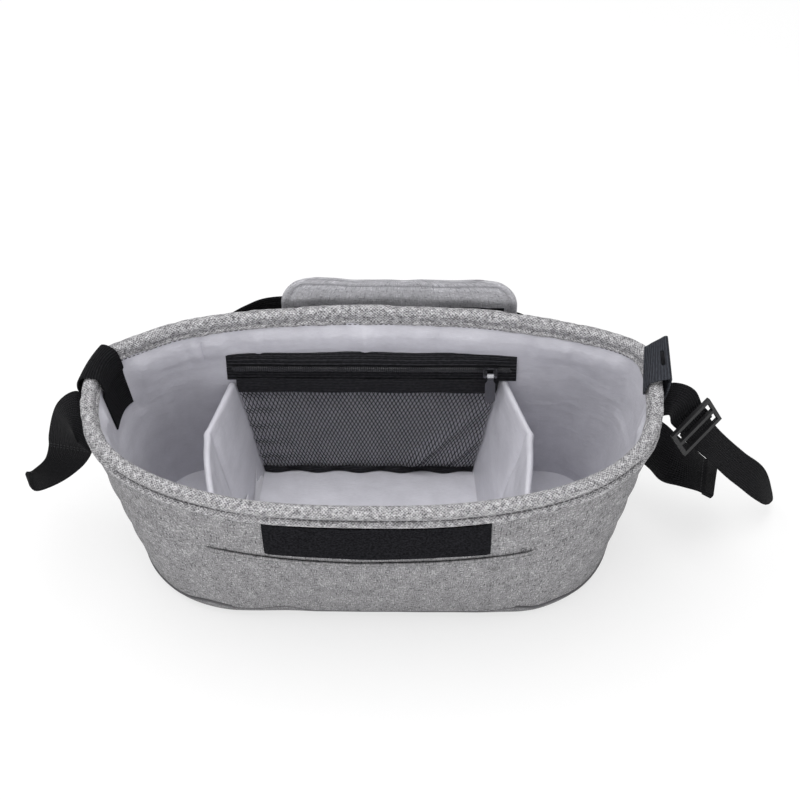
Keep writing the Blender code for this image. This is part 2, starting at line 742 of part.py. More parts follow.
def build_pull(axis):
    """The pull: an eye round the bridge and a flat tab that hangs down along the band."""
    hole = BRIDGE_RADIUS + PULL_EYE_GAP
    ring = hole + PULL_EYE_WALL
    half_eye = BRIDGE_HALF_SPAN - PULL_EYE_GAP
    half_tab = PULL_WIDTH / 2
    half_thick = PULL_THICKNESS / 2
    turns = 12
    points, faces = [], []
    for side in (-1, 1):
        for radius in (hole, ring):
            for turn in range(turns):
                angle = 2 * math.pi * (turn + 0.5) / turns
                forward, up = axis + radius * math.cos(angle), radius * math.sin(angle)
                points.append(leaned((SLIDER_REST + side * half_eye, forward, up)))
    for turn in range(turns):
        after = (turn + 1) % turns
        hole_l, ring_l, hole_r, ring_r = (block * turns for block in range(4))
        faces.append((hole_l + turn, hole_l + after, ring_l + after, ring_l + turn))
        faces.append((hole_r + turn, ring_r + turn, ring_r + after, hole_r + after))
        faces.append((ring_l + turn, ring_l + after, ring_r + after, ring_r + turn))
        faces.append((hole_l + turn, hole_r + turn, hole_r + after, hole_l + after))
    pull = add_solid("zip_pull", points, faces, NICKEL)

    outline = [
        (-half_eye, -(ring - PULL_EYE_WALL / 2)),
        (-half_eye, -ring - PULL_NECK),
        (-half_tab, -ring - PULL_SHOULDER),
        (-half_tab, -PULL_LENGTH + PULL_CORNER),
        (-half_tab + PULL_CORNER, -PULL_LENGTH),
    ]
    outline += [(-x, up) for x, up in reversed(outline)]
    count = len(outline)
    tab_points = [
        leaned((SLIDER_REST + x, axis + side * half_thick, up)) for side in (-1, 1) for x, up in outline
    ]
    tab_faces = [tuple(range(count)), tuple(range(count, 2 * count))]
    for corner in range(count):
        turn = (corner + 1) % count
        tab_faces.append((corner, turn, count + turn, count + corner))
    tab = add_solid("pull_tab", tab_points, tab_faces, NICKEL)
    tab.hide_render = True
    tab.display_type = "WIRE"
    join = pull.modifiers.new("tab", "BOOLEAN")
    join.operation = "UNION"
    join.object = tab


def mesh_y(x, height):
    """The mesh hangs from the zip's plane down to the foot of the wall."""
    wall = back_wall_y(x, height, WALL_DEPTH + MESH_STANDOFF)
    plane = ZIP_Y + ZIP_LEAN * (height - ZIP_HEIGHT)
    share = max(0.0, (height - MESH_BOTTOM) / (BAND_BOTTOM - MESH_BOTTOM))
    return min(wall, wall * (1 - share**2) + plane * share**2)


def build_mesh_pocket():
    """The black band under the zip, the open mesh and the hem along its foot."""
    gap = CLEARANCE
    band_rows = [
        (BAND_BOTTOM + gap, lambda x: mesh_y(x, BAND_BOTTOM)),
        (BAND_TOP, lambda x: ZIP_Y + ZIP_LEAN * (BAND_TOP - ZIP_HEIGHT) - ZIP_TAPE_THICKNESS - gap),
    ]
    strip_solid("mesh_top_band", band_rows, 5, BAND_THICKNESS, TRIM_BLACK)
    hem_rows = [
        (FLOOR_TOP + gap, lambda x: mesh_y(x, FLOOR_TOP + gap)),
        (FLOOR_TOP + MESH_HEM, lambda x: mesh_y(x, FLOOR_TOP + MESH_HEM)),
    ]
    strip_solid("mesh_hem", hem_rows, 9, BAND_THICKNESS, TRIM_BLACK)

    bottom = FLOOR_TOP + MESH_HEM + gap
    top = BAND_BOTTOM
    points, index = [], {}

    def spot(column, row, layer):
        key = (round(column, 3), round(row, 3), layer)
        if key not in index:
            height = bottom + (top - bottom) * row / MESH_ROWS
            x = between_dividers(height, column / MESH_COLUMNS)
            index[key] = len(points)
            points.append((x, mesh_y(x, height) - layer * MESH_THICKNESS, height))
        return index[key]

    faces = []
    half = MESH_OPEN_SHARE / 2
    for column in range(MESH_COLUMNS):
        for row in range(MESH_ROWS):
            corners = [(column, row), (column + 1, row), (column + 1, row + 1), (column, row + 1)]
            cx, cy = column + 0.5, row + 0.5
            tips = [(cx, cy - half), (cx + half, cy), (cx, cy + half), (cx - half, cy)]
            for layer in (0, 1):
                for side in range(4):
                    corner, after = spot(*corners[side], layer), spot(*corners[(side + 1) % 4], layer)
                    tip, last = spot(*tips[side], layer), spot(*tips[side - 1], layer)
                    faces.append((corner, after, tip))
                    faces.append((corner, tip, last))
            for side in range(4):
                first, second = tips[side], tips[(side + 1) % 4]
                faces.append((spot(*first, 0), spot(*second, 0), spot(*second, 1), spot(*first, 1)))
    for column in range(MESH_COLUMNS):
        for row in (0, MESH_ROWS):
            faces.append((spot(column, row, 0), spot(column + 1, row, 0),
                          spot(column + 1, row, 1), spot(column, row, 1)))
    for row in range(MESH_ROWS):
        for column in (0, MESH_COLUMNS):
            faces.append((spot(column, row, 0), spot(column, row + 1, 0),
                          spot(column, row + 1, 1), spot(column, row, 1)))
    add_solid("mesh_pocket", points, faces, TRIM_BLACK)


def ribbon(name, route, width, finish, steps=4, hem=0.0):
    """Flat webbing along a route of (centre, width direction) stops. A hem thickens its free end."""
    centres = smooth_curve([stop[0] for stop in route], steps)
    across = smooth_curve([stop[1] for stop in route], steps)
    thickness = np.full(len(centres), WEBBING_THICKNESS)
    if hem:
        thickness[-3:] = hem
    return add_solid(name, *ribbon_mesh(centres, across, width, thickness), finish)


def smooth_curve(stops, steps):
    """Points on a Catmull-Rom curve through the stops."""
    stops = [np.array(stop, float) for stop in stops]
    padded = [2 * stops[0] - stops[1], *stops, 2 * stops[-1] - stops[-2]]
    curve = []
    for number in range(1, len(padded) - 2):
        a, b, c, d = padded[number - 1:number + 3]
        for step in range(steps):
            t = step / steps
            curve.append(0.5 * (2 * b + (c - a) * t + (2 * a - 5 * b + 4 * c - d) * t**2
                                + (3 * b - a - 3 * c + d) * t**3))
    curve.append(stops[-1])
    return np.array(curve)


def band_frame(centres, across):
    """Directions along, across and square to a band at each of its points."""
    along = np.gradient(centres, axis=0)
    along /= np.linalg.norm(along, axis=1)[:, None]
    across = across / np.linalg.norm(across, axis=1)[:, None]
    facing = np.cross(along, across)
    return along, across, facing / np.linalg.norm(facing, axis=1)[:, None]


def ribbon_mesh(centres, across, width, thickness):
    """Points and faces of a flat band, rectangular in section."""
    _, across, facing = band_frame(centres, across)
    points = []
    for side, layer in ((-1, -1), (1, -1), (1, 1), (-1, 1)):
        points.append(centres + side * width / 2 * across + layer * thickness[:, None] / 2 * facing)
    points = np.stack(points, axis=1).reshape(-1, 3)
    faces = []
    for step in range(len(centres) - 1):
        for corner in range(4):
            turn = (corner + 1) % 4
            faces.append((4 * step + corner, 4 * step + turn, 4 * step + 4 + turn, 4 * step + 4 + corner))
    last = 4 * (len(centres) - 1)
    faces += [(0, 1, 2, 3), (last, last + 1, last + 2, last + 3)]
    return points, faces


def build_flap():
    """The lid flap, sewn under the back rim, hanging down behind and doubled up to its free end."""
    half = FLAP_THICKNESS / 2
    root_y = max(
        back_wall_y(FLAP_CENTRE, FLAP_ROOT_HEIGHT, -CLEARANCE - half),
        back_wall_y(FLAP_CENTRE, FLAP_TURN_HEIGHT, -CLEARANCE - half),
    )
    outer_y = root_y + 2 * FLAP_TURN_RADIUS
    path = [(root_y, FLAP_ROOT_HEIGHT), (root_y, (FLAP_ROOT_HEIGHT + FLAP_TURN_HEIGHT) / 2)]
    for turn in range(7):
        angle = math.radians(180 + 30 * turn)
        path.append((root_y + FLAP_TURN_RADIUS + FLAP_TURN_RADIUS * math.cos(angle),
                     FLAP_TURN_HEIGHT + FLAP_TURN_RADIUS * math.sin(angle)))
    for turn in range(6):
        angle = math.radians(18 * turn)
        height = FLAP_TIP_HEIGHT - FLAP_CORNER + FLAP_CORNER * math.sin(angle)
        path.append((outer_y, height))
    path = np.array(path)
    along = np.gradient(path, axis=0)
    along /= np.linalg.norm(along, axis=1)[:, None]
    points = []
    for layer in (-1, 1):
        for (y, height), (dy, dz) in zip(path, along):
            on_outer_leg = y > root_y + FLAP_TURN_RADIUS
            over = max(0.0, height - (FLAP_TIP_HEIGHT - FLAP_CORNER)) if on_outer_leg else 0.0
            inset = FLAP_CORNER - math.sqrt(max(FLAP_CORNER**2 - over**2, 0.0))
            reach = FLAP_WIDTH / 2 - min(inset, FLAP_CORNER * 0.96)
            for side in (-1, -1 / 3, 1 / 3, 1):
                x = FLAP_CENTRE + side * reach
                points.append((x, y - layer * half * dz, height + layer * half * dy))
    add_solid("lid_flap", points, sheet_faces(len(path), 4), HEATHER_GREY)

    front = outer_y - half - CLEARANCE
    back = front - FLAP_STRIP_THICKNESS
    top = FLAP_TIP_HEIGHT - FLAP_CORNER
    corners = box_points((FLAP_CENTRE - STRIP_LENGTH / 2, back, top - FLAP_STRIP_HEIGHT),
                         (FLAP_CENTRE + STRIP_LENGTH / 2, front, top))
    faces = [(0, 1, 3, 2), (4, 5, 7, 6), (0, 1, 5, 4), (2, 3, 7, 6), (0, 2, 6, 4), (1, 3, 7, 5)]
    add_solid("flap_closure_strip", corners, faces, LOOP_BLACK)


def rim_wrap(name, stations, near_path, far_path, straight, finish):
    """Webbing folded over the rim. The paths are (inward, height above the rim) points at its two
    ends. Where straight is 1 it spans its ends in a straight line, and where it is 0 it follows the
    rim."""
    half = WEBBING_THICKNESS / 2
    shares = np.linspace(0.0, 1.0, len(stations))
    layers = []
    for layer in (-1, 1):
        columns = []
        for station, share in zip(stations, shares):
            path = np.array(near_path) * (1 - share) + np.array(far_path) * share
            along = np.gradient(path, axis=0)
            along /= np.linalg.norm(along, axis=1)[:, None]
            column = []
            for (inward, rise), (dx, dz) in zip(path, along):
                level = 1 + (rise - layer * half * dx) / round_station(RIM_HEIGHTS, station)
                column.append(wall_point(station, level, inward + layer * half * dz))
            columns.append(column)
        spots = np.array(columns)
        chord = spots[0] * (1 - shares[:, None, None]) + spots[-1] * shares[:, None, None]
        weight = np.array(straight)[None, :, None]
        layers.append(spots * (1 - weight) + chord * weight)
    points = np.concatenate([layer.reshape(-1, 3) for layer in layers])
    return add_solid(name, points, sheet_faces(len(stations), len(straight)), finish)


def anchor_stations(first_y, end_station, direction):
    """Stations round the rim that span the anchor's width from a y, near one end of the bag."""
    quarter = float(np.linalg.norm(OUTLINES[-1][0][1] - OUTLINES[-1][0][0]))
    places = np.linspace(first_y, first_y + ANCHOR_WIDTH, 7) / quarter
    return [end_station + direction * place for place in places]


def inner_leg(drop):
    half = WEBBING_THICKNESS / 2
    on_lining = WALL_DEPTH + CLEARANCE + half
    past_flange = WALL_DEPTH + 2 * CLEARANCE + BINDING_INNER_FLANGE + half
    return [
        (on_lining, -drop),
        (on_lining, -BINDING_INNER_DROP - ANCHOR_EASE),
        (past_flange + CLEARANCE, -BINDING_INNER_DROP),
        (past_flange + CLEARANCE, -ANCHOR_LEG_TOP),
    ]


def outer_leg(drop):
    half = WEBBING_THICKNESS / 2
    past_welt = -BINDING_WELT - CLEARANCE - half
    return [
        (past_welt - 2 * CLEARANCE, -ROLL_NECK),
        (past_welt, -BINDING_DROP),
        (-CLEARANCE - half - CLEARANCE, -BINDING_DROP - ANCHOR_EASE),
        (-CLEARANCE - half - CLEARANCE, -drop),
    ]


# The right anchor's loop, as (inward, height above the rim) at its near and its far end, and how
# straight it runs from one to the other. Its upper half stands clear of the rim.
LOOP_ROWS = (
    ((0.0096, -0.0050), (0.0042, 0.0074), 1.0),
    ((0.0097, -0.0005), (0.0016, 0.0080), 1.0),
    ((0.0078, 0.0047), (-0.0014, 0.0090), 1.0),
    ((0.0026, 0.0076), (-0.0058, 0.0099), 1.0),
    ((-0.0032, 0.0091), (-0.0098, 0.0109), 1.0),
    ((-0.0048, 0.0082), (-0.0115, 0.0099), 1.0),
    ((-0.0047, 0.0064), (-0.0113, 0.0080), 1.0),
    ((-0.0042, 0.0015), (-0.0095, 0.0015), 1.0),
    ((-0.0040, -0.0046), (-0.0080, -0.0050), 0.7),
    ((-0.0037, -0.0098), (-0.0056, -0.0100), 0.3),
    ((-0.0015, -0.0156), (-0.0015, -0.0156), 0.0),
    ((-0.0013, -0.0252), (-0.0013, -0.0252), 0.0),
)
LOOP_TOP_ROW = 3


def build_anchors():
    """Left, webbing wrapped tightly over the rim. Right, a loose loop with a slot in its top."""
    half = WEBBING_THICKNESS / 2
    middle = WALL_DEPTH / 2
    reach = ROLL_RADIUS + 2 * CLEARANCE + half
    over = []
    for turn in range(1, 6):
        angle = math.radians(180 - 30 * turn)
        over.append((middle - reach * math.cos(angle), reach * math.sin(angle)))
    outer = outer_leg(ANCHOR_DROP * ANCHOR_OUTER_SHARE)
    inner = inner_leg(ANCHOR_DROP)
    straight = [0.0] * len(inner) + [0.0, 0.1, 0.5, 0.6, 0.6] + [0.6, 0.5, 0.0, 0.0]
    tight = [
        (inward - ANCHOR_CHORD_GAP * weight, rise)
        for (inward, rise), weight in zip(inner + over + outer, straight)
    ]
    stations = anchor_stations(0.0, LEFT_END, -1)
    rim_wrap("left_strap_anchor", stations, tight, tight, straight, WEBBING_BLACK)

    near_path, far_path, straight = zip(*LOOP_ROWS)
    stations = anchor_stations(ANCHOR_NEAR_END, 0, 1)
    anchor = rim_wrap("right_strap_anchor", stations, near_path, far_path, straight, WEBBING_SLATE)
    ends = []
    for station, path in ((stations[0], near_path), (stations[-1], far_path)):
        for inward, rise in path[LOOP_TOP_ROW:LOOP_TOP_ROW + 2]:
            ends.append(wall_point(station, 1 + rise / round_station(RIM_HEIGHTS, station), inward))
    cut(anchor, slot_cutter(sum(ends) / len(ends)))


def slot_cutter(centre):
    """An upright block with round ends, for the slot in the loop."""
    radius = ANCHOR_SLOT_WIDTH / 2
    straight = ANCHOR_SLOT_LENGTH / 2 - radius
    outline = []
    for end in (1, -1):
        for turn in range(5):
            angle = math.radians(45 * turn) if end > 0 else math.radians(180 + 45 * turn)
            outline.append((centre[0] + radius * math.cos(angle),
                            centre[1] + end * straight + radius * math.sin(angle)))
    points = [(x, y, centre[2] + side * ANCHOR_SLOT_TALL) for side in (-1, 1) for x, y in outline]
    count = len(outline)
    faces = [tuple(range(count)), tuple(range(count, 2 * count))]
    for corner in range(count):
        turn = (corner + 1) % count
        faces.append((corner, turn, count + turn, count + corner))
    return add_solid("slot_cutter", points, faces, WEBBING_SLATE)


def pierced_plate(name, cuts_along, cuts_across, holes, thickness, place, finish):
    """A flat plate on a grid of cut lines, with the named cells left open."""
    rows, columns = len(cuts_along), len(cuts_across)
    points = []
    for side in (-1, 1):
        for along in cuts_along:
            for across in cuts_across:
                points.append(place(along, across, side * thickness / 2))

    def number(row, column, layer):
        return layer * rows * columns + row * columns + column

    def is_solid(row, column):
        inside = 0 <= row < rows - 1 and 0 <= column < columns - 1
        return inside and (row, column) not in holes

    faces = []
    for row in range(rows - 1):
        for column in range(columns - 1):
            if not is_solid(row, column):
                continue
            corners = [(row, column), (row, column + 1), (row + 1, column + 1), (row + 1, column)]
            for layer in (0, 1):
                faces.append(tuple(number(*corner, layer) for corner in corners))
            beside = [(row - 1, column), (row, column + 1), (row + 1, column), (row, column - 1)]
            for side, other in enumerate(beside):
                if not is_solid(*other):
                    first, second = corners[side], corners[(side + 1) % 4]
                    edge = ((first, 0), (second, 0), (second, 1), (first, 1))
                    faces.append(tuple(number(*corner, layer) for corner, layer in edge))
    return add_solid(name, points, faces, finish)


# The straps lie as they fell, so each stop on their routes is chosen: a centre and a width direction.
# The centres of the first three count from the wall's outside at a root, (station, height).
LEFT_STRAP_ROOT = (25.3, 0.1240)
LEFT_STRAP_ROUTE = (
    ((-0.0010, 0.0001, 0.0000), (0.15, -0.99, 0.00)),
    ((-0.0088, 0.0076, 0.0022), (0.12, -0.97, -0.20)),
    ((-0.0160, 0.0081, -0.0018), (0.45, -0.86, 0.12)),
    ((-0.0173, 0.0081, -0.0190), (0.76, -0.54, 0.30)),
    ((-0.0188, 0.0111, -0.0320), (0.82, -0.44, 0.36)),
    ((-0.0248, 0.0121, -0.0460), (0.76, -0.50, 0.42)),
    ((-0.0353, 0.0121, -0.0575), (0.62, -0.62, 0.44)),
    ((-0.0458, 0.0116, -0.0640), (0.32, -0.80, 0.47)),
    ((-0.0503, 0.0121, -0.0628), (0.30, -0.80, 0.47)),
)
RIGHT_STRAP_ROOT = (0.34, 0.1225)
RIGHT_STRAP_ROUTE = (
    ((0.0027, 0.0000, 0.0000), (0.00, -1.00, 0.00)),
    ((0.0117, 0.0010, 0.0015), (-0.20, -0.96, -0.12)),
    ((0.0192, 0.0030, -0.0050), (-0.64, -0.73, -0.22)),
    ((0.0237, 0.0045, -0.0175), (-0.80, -0.58, -0.10)),
    ((0.0327, 0.0048, -0.0335), (-0.78, -0.62, 0.02)),
    ((0.0457, 0.0070, -0.0510), (-0.60, -0.79, 0.08)),
    ((0.0607, 0.0090, -0.0705), (-0.56, -0.82, 0.00)),
    ((0.0752, 0.0100, -0.0870), (-0.60, -0.79, 0.00)),
    ((0.0889, 0.0105, -0.1113), (-0.36, -0.72, 0.59)),
)
LOWER_STRAP_ROOT = (3.0, 0.0470)
LOWER_STRAP_ROUTE = (
    ((-0.0061, 0.0070, 0.0000), (0.00, 0.00, -1.00)),
    ((0.0099, 0.0078, -0.0015), (0.00, 0.00, -1.00)),
    ((0.0249, 0.0018, -0.0020), (0.00, -0.10, -0.99)),
    ((0.0349, -0.0072, -0.0005), (0.05, -0.40, -0.91)),
    ((0.0419, -0.0172, 0.0025), (-0.05, -0.78, -0.61)),
    ((0.0504, -0.0272, 0.0055), (-0.11, -0.98, -0.16)),
    ((0.0644, -0.0324, -0.0002), (-0.16, -0.97, 0.17)),
    ((0.0754, -0.0347, -0.0080), (-0.20, -0.93, 0.32)),
)
BACK_STRAP_LEFT = ((-0.1280, 0.0960), (-0.1240, 0.0960), (-0.1200, 0.0960))
BACK_STRAP_RIGHT = ((0.1200, 0.0940), (0.1240, 0.0940), (0.1280, 0.0940))
BACK_STRAP_ROUTE = (
    ((-0.1120, 0.0684, 0.0985), (0.00, 0.11, 0.99)),
    ((-0.1000, 0.0765, 0.1065), (0.00, 0.08, 0.99)),
    ((-0.0830, 0.0835, 0.1137), (-0.10, 0.05, 0.99)),
    ((-0.0660, 0.0878, 0.1180), (-0.05, 0.00, 1.00)),
    ((-0.0300, 0.0880, 0.1190), (0.00, 0.00, 1.00)),
    ((0.0150, 0.0880, 0.1180), (0.00, 0.00, 1.00)),
    ((0.0600, 0.0880, 0.1120), (0.05, 0.00, 1.00)),
    ((0.0930, 0.0884, 0.1030), (0.05, 0.05, 1.00)),
    ((0.1020, 0.0785, 0.0985), (0.00, 0.10, 0.99)),
    ((0.1120, 0.0685, 0.0955), (0.00, 0.12, 0.99)),
)
ADJUSTER_STOP = 3.4


def hung(root, route):
    """A route whose centres count from a point of the wall."""
    station, height = root
    start = wall_point(station, level_at(station, height))
    return [(start + centre, across) for centre, across in route]


def build_right_strap():
    """Narrow webbing threaded through its adjuster: under both end bars and over the middle one."""
    steps = 6
    route = hung(RIGHT_STRAP_ROOT, RIGHT_STRAP_ROUTE)
    centres = smooth_curve([stop[0] for stop in route], steps)
    across = smooth_curve([stop[1] for stop in route], steps)
    along, across, facing = band_frame(centres, across)
    place = round(ADJUSTER_STOP * steps)
    origin, forward, up = centres[place], along[place], -facing[place]
    side = np.cross(up, forward)

    half_strap = WEBBING_THICKNESS / 2
    half_frame = ADJUSTER_THICKNESS / 2
    frame_rise = half_strap + CLEARANCE + half_frame + CLEARANCE
    strap_rise = frame_rise + half_frame + CLEARANCE + half_strap
    for number, centre in enumerate(centres):
        apart = abs(float(np.dot(centre - origin, forward)))
        share = (apart - ADJUSTER_BAR * ADJUSTER_CREST) / (ADJUSTER_SLOT * ADJUSTER_RUN)
        share = min(max(share, 0.0), 1.0)
        centres[number] = centre + up * strap_rise * (1 - share * share * (3 - 2 * share))
    thickness = np.full(len(centres), WEBBING_THICKNESS)
    points, faces = ribbon_mesh(centres, across, NARROW_STRAP, thickness)
    add_solid("right_strap", points, faces, WEBBING_BLACK)

    def in_place(length, width, height):
        return origin + forward * length + side * width + up * (frame_rise + height)

    half_bar = ADJUSTER_BAR / 2
    slot_end = half_bar + ADJUSTER_SLOT
    end = slot_end + ADJUSTER_BAR
    rail = NARROW_STRAP / 2 + 2 * CLEARANCE
    lengths = (-end, -slot_end, -half_bar, half_bar, slot_end, end)
    near = rail + ADJUSTER_ROOM
    widths = (-near - ADJUSTER_RAIL, -near, rail, rail + ADJUSTER_RAIL)
    slots = {(1, 1), (3, 1)}
    pierced_plate("right_adjuster", lengths, widths, slots, ADJUSTER_THICKNESS, in_place, PLASTIC_BLACK)


def build_straps():
    ribbon("left_strap", hung(LEFT_STRAP_ROOT, LEFT_STRAP_ROUTE), WIDE_STRAP, WEBBING_BLACK)
    build_right_strap()
    lower_route = hung(LOWER_STRAP_ROOT, LOWER_STRAP_ROUTE)
    ribbon("right_lower_strap", lower_route, WIDE_STRAP, WEBBING_BLACK, hem=STRAP_HEM)

    def sewn(spots):
        stops = []
        reach = -WEBBING_THICKNESS / 2 - 3 * CLEARANCE
        for x, height in spots:
            rises = np.linspace(-NARROW_STRAP / 2, NARROW_STRAP / 2, 7)
            wall = np.array([back_wall_y(x, height + rise, reach) for rise in rises])
            lean = (wall[-1] - wall[0]) / NARROW_STRAP
            stops.append(((x, float(np.max(wall - lean * rises)), height), (0.0, lean, 1.0)))
        return stops

    back_route = [*sewn(BACK_STRAP_LEFT), *BACK_STRAP_ROUTE, *sewn(BACK_STRAP_RIGHT)]
    ribbon("back_strap", back_route, NARROW_STRAP, WEBBING_BLACK)


build_base()
build_outer_walls()
build_inner_walls()
build_binding()
build_closure_strip()
build_divider("left_divider", LEFT_DIVIDER)
build_divider("right_divider", RIGHT_DIVIDER)
build_zip()
build_pull(build_slider())
build_mesh_pocket()
build_flap()
build_anchors()
build_straps()
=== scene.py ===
import math

import bpy
import numpy as np
from mathutils import Matrix, Vector


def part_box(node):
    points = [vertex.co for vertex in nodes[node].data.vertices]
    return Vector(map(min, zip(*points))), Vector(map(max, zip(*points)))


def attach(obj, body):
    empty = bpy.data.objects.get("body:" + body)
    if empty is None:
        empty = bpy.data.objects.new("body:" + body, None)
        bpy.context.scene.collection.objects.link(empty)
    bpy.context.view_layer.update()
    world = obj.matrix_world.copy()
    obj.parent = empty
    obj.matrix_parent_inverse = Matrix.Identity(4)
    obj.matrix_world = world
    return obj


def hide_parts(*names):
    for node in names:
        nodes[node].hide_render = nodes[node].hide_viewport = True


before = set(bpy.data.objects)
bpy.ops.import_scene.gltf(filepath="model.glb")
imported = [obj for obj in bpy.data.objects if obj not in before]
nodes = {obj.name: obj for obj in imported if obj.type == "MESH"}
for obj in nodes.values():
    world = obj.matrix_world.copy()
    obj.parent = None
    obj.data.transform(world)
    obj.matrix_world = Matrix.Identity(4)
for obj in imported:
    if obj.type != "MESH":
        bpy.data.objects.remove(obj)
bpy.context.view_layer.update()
print("frame loaded")

# Shape of the bag, in metres. Stations count round the wall, counter-clockwise from the right end.
body = {
    "rimHalf": 0.176, "rimFront": 0.096, "rimBack": 0.0745, "frontPower": 2.6, "backPower": 2.9,
    "height": 0.1336, "endRise": 0.0082, "backDip": 0.011,
    "baseHalf": 0.1510, "baseFront": 0.068, "baseBack": 0.0548, "frontCorner": 0.066, "backCorner": 0.040,
    "bulge": 0.004, "frontSteps": 14, "backSteps": 12, "fine": 12,
    "cornerPull": 0.0055, "cornerStation": 21.3, "cornerSpan": 1.7,
}
stations = 2 * (body["frontSteps"] + body["backSteps"])
solver = {"rounds": 12, "leastSlope": 2e-3, "margin": 0.5, "table": 600}
leftEnd = 2 * body["backSteps"]
frontMiddle = leftEnd + body["frontSteps"]
liningDepth = 0.0059
wallDepth = 0.0066
floorTop = 0.0053


def unit(value):
    return np.clip(value, 0, 1)


def direction(values):
    return values / np.linalg.norm(values, axis=-1, keepdims=True)


def runAlong(points):
    # the length of a line up to each of its points
    return np.concatenate([[0.0], np.cumsum(np.linalg.norm(np.diff(points, axis=0), axis=1))])


def sampled(at, run, table):
    # the rows of a table at these lengths
    return np.stack([np.interp(at, run, table[:, k]) for k in range(table.shape[1])], -1)


def evenQuarter(points, steps):
    points = np.array(points, float)
    run = runAlong(points)
    return sampled(np.linspace(0.0, run[-1], steps + 1)[:-1], run, points)


def wholeOutline(back, front):
    fine = body["fine"]
    backSteps, frontSteps = body["backSteps"] * fine, body["frontSteps"] * fine
    return np.concatenate([
        evenQuarter(back, backSteps),
        evenQuarter(back[::-1], backSteps) * (-1, 1),
        evenQuarter(front, frontSteps) * (-1, -1),
        evenQuarter(front[::-1], frontSteps) * (1, -1),
    ])


def baseQuarter(depth, corner):
    turns = np.linspace(0, math.pi / 2, 60)
    bend = np.stack([body["baseHalf"] - corner * (1 - np.cos(turns)),
                     depth - corner * (1 - np.sin(turns))], 1)
    return np.concatenate([[(body["baseHalf"], 0.0)], bend, [(0.0, depth)]])


def rimQuarter(depth, power):
    turns = np.linspace(0, math.pi / 2, 900)
    along = np.abs(np.cos(turns)) ** (2 / power) * body["rimHalf"]
    return np.stack([along, np.abs(np.sin(turns)) ** (2 / power) * depth], 1)


baseLine = wholeOutline(baseQuarter(body["baseBack"], body["backCorner"]),
                        baseQuarter(body["baseFront"], body["frontCorner"]))
rimLine = wholeOutline(rimQuarter(body["rimBack"], body["backPower"]),
                       rimQuarter(body["rimFront"], body["frontPower"]))


def slopeOf(line):
    steps = 8
    return (np.roll(line, -steps, 0) - np.roll(line, steps, 0)) / (2 * steps)


baseSlope, rimSlope = slopeOf(baseLine), slopeOf(rimLine)


def roundTable(table, station):
    place = np.asarray(station, float) * body["fine"]
    low = np.floor(place).astype(int)
    share = place - low
    if table.ndim == 2:
        share = share[..., None]
    return table[low % len(table)] * (1 - share) + table[(low + 1) % len(table)] * share


def rimHeights():
    x, y = rimLine[:, 0], rimLine[:, 1]
    share = unit(np.abs(x) / body["rimHalf"])
    front = body["height"] + body["endRise"] * share**2
    back = body["height"] + body["endRise"] * share**6 - body["backDip"] * (share**2 - share**6)
    return np.where(y < 0, front, back)


rimTable = rimHeights()


def levelOf(station, height):
    return height / roundTable(rimTable, station)


def fromRim(station, rise):
    # the level of a point this far above the rim
    return 1 + rise / roundTable(rimTable, station)


def wallAt(station, level, inward=0.0):
    # points on the wall and the direction that faces outwards there
    station, level = np.broadcast_arrays(np.asarray(station, float), np.asarray(level, float))
    flat = unit(level)[..., None]
    outline = roundTable(baseLine, station) * (1 - flat) + roundTable(rimLine, station) * flat
    along = roundTable(baseSlope, station) * (1 - flat) + roundTable(rimSlope, station) * flat
    along = direction(along)
    out = np.stack([along[..., 1], -along[..., 0]], -1)
    rise = flat[..., 0]
    bulge = body["bulge"] * 4 * rise * (1 - rise) * unit(-out[..., 1]) ** 2
    pull = body["cornerPull"] * rise * bump(station % stations, body["cornerStation"], body["cornerSpan"])
    outline = outline + out * (bulge - pull - inward)[..., None]
    height = level * roundTable(rimTable, station)
    return np.concatenate([outline, height[..., None]], -1), out


def stationAtX(x, level, front):
    # the stations at which the front or the back wall crosses these x
    table = np.linspace(leftEnd if front else 0, stations if front else leftEnd, solver["table"])
    found = wallAt(table, np.full(len(table), level))[0][:, 0]
    if not front:
        table, found = table[::-1], found[::-1]
    return np.interp(x, found, table)


def backY(x, height, inward, front=False):
    # the y of the back or front wall at these x and heights: the station is found step by step
    x, height = np.broadcast_arrays(np.asarray(x, float), np.asarray(height, float))
    station = stationAtX(x, 0.5, front)
    first, last = (leftEnd, stations) if front else (0, leftEnd)
    least = solver["leastSlope"]
    for _ in range(solver["rounds"]):
        spot = wallAt(station, levelOf(station, height), inward)[0]
        slope = roundTable(baseSlope, station)[..., 0] * body["fine"]
        slope = np.where(np.abs(slope) < least, least if front else -least, slope)
        step = np.clip((x - spot[..., 0]) / slope, -1, 1)
        station = np.clip(station + step, first + solver["margin"], last - solver["margin"])
    return wallAt(station, levelOf(station, height), inward)[0][..., 1]


def frontY(x, height, inward):
    return backY(x, height, inward, front=True)


lattice = np.random.default_rng(4).random((24, 24, 24)) * 2 - 1


def softNoise(points, size, shift):
    # smooth noise from -1 to 1 in lumps of about this size
    place = np.asarray(points, float) / size + 37.3 + shift
    low = np.floor(place).astype(int)
    share = place - low
    share = share * share * (3 - 2 * share)
    total = 0
    for dx in (0, 1):
        for dy in (0, 1):
            for dz in (0, 1):
                weight = np.ones(len(place))
                for axis, step in enumerate((dx, dy, dz)):
                    weight = weight * (share[:, axis] if step else 1 - share[:, axis])
                spot = (low + (dx, dy, dz)) % 24
                total = total + weight * lattice[spot[:, 0], spot[:, 1], spot[:, 2]]
    return total


def lumpsOf(points, *parts):
    # lumps of several heights and sizes, each with its own shift
    return sum(height * softNoise(points, size, shift) for height, size, shift in parts)


def bump(value, centre, width):
    return np.exp(-((np.asarray(value) - centre) / width) ** 2)


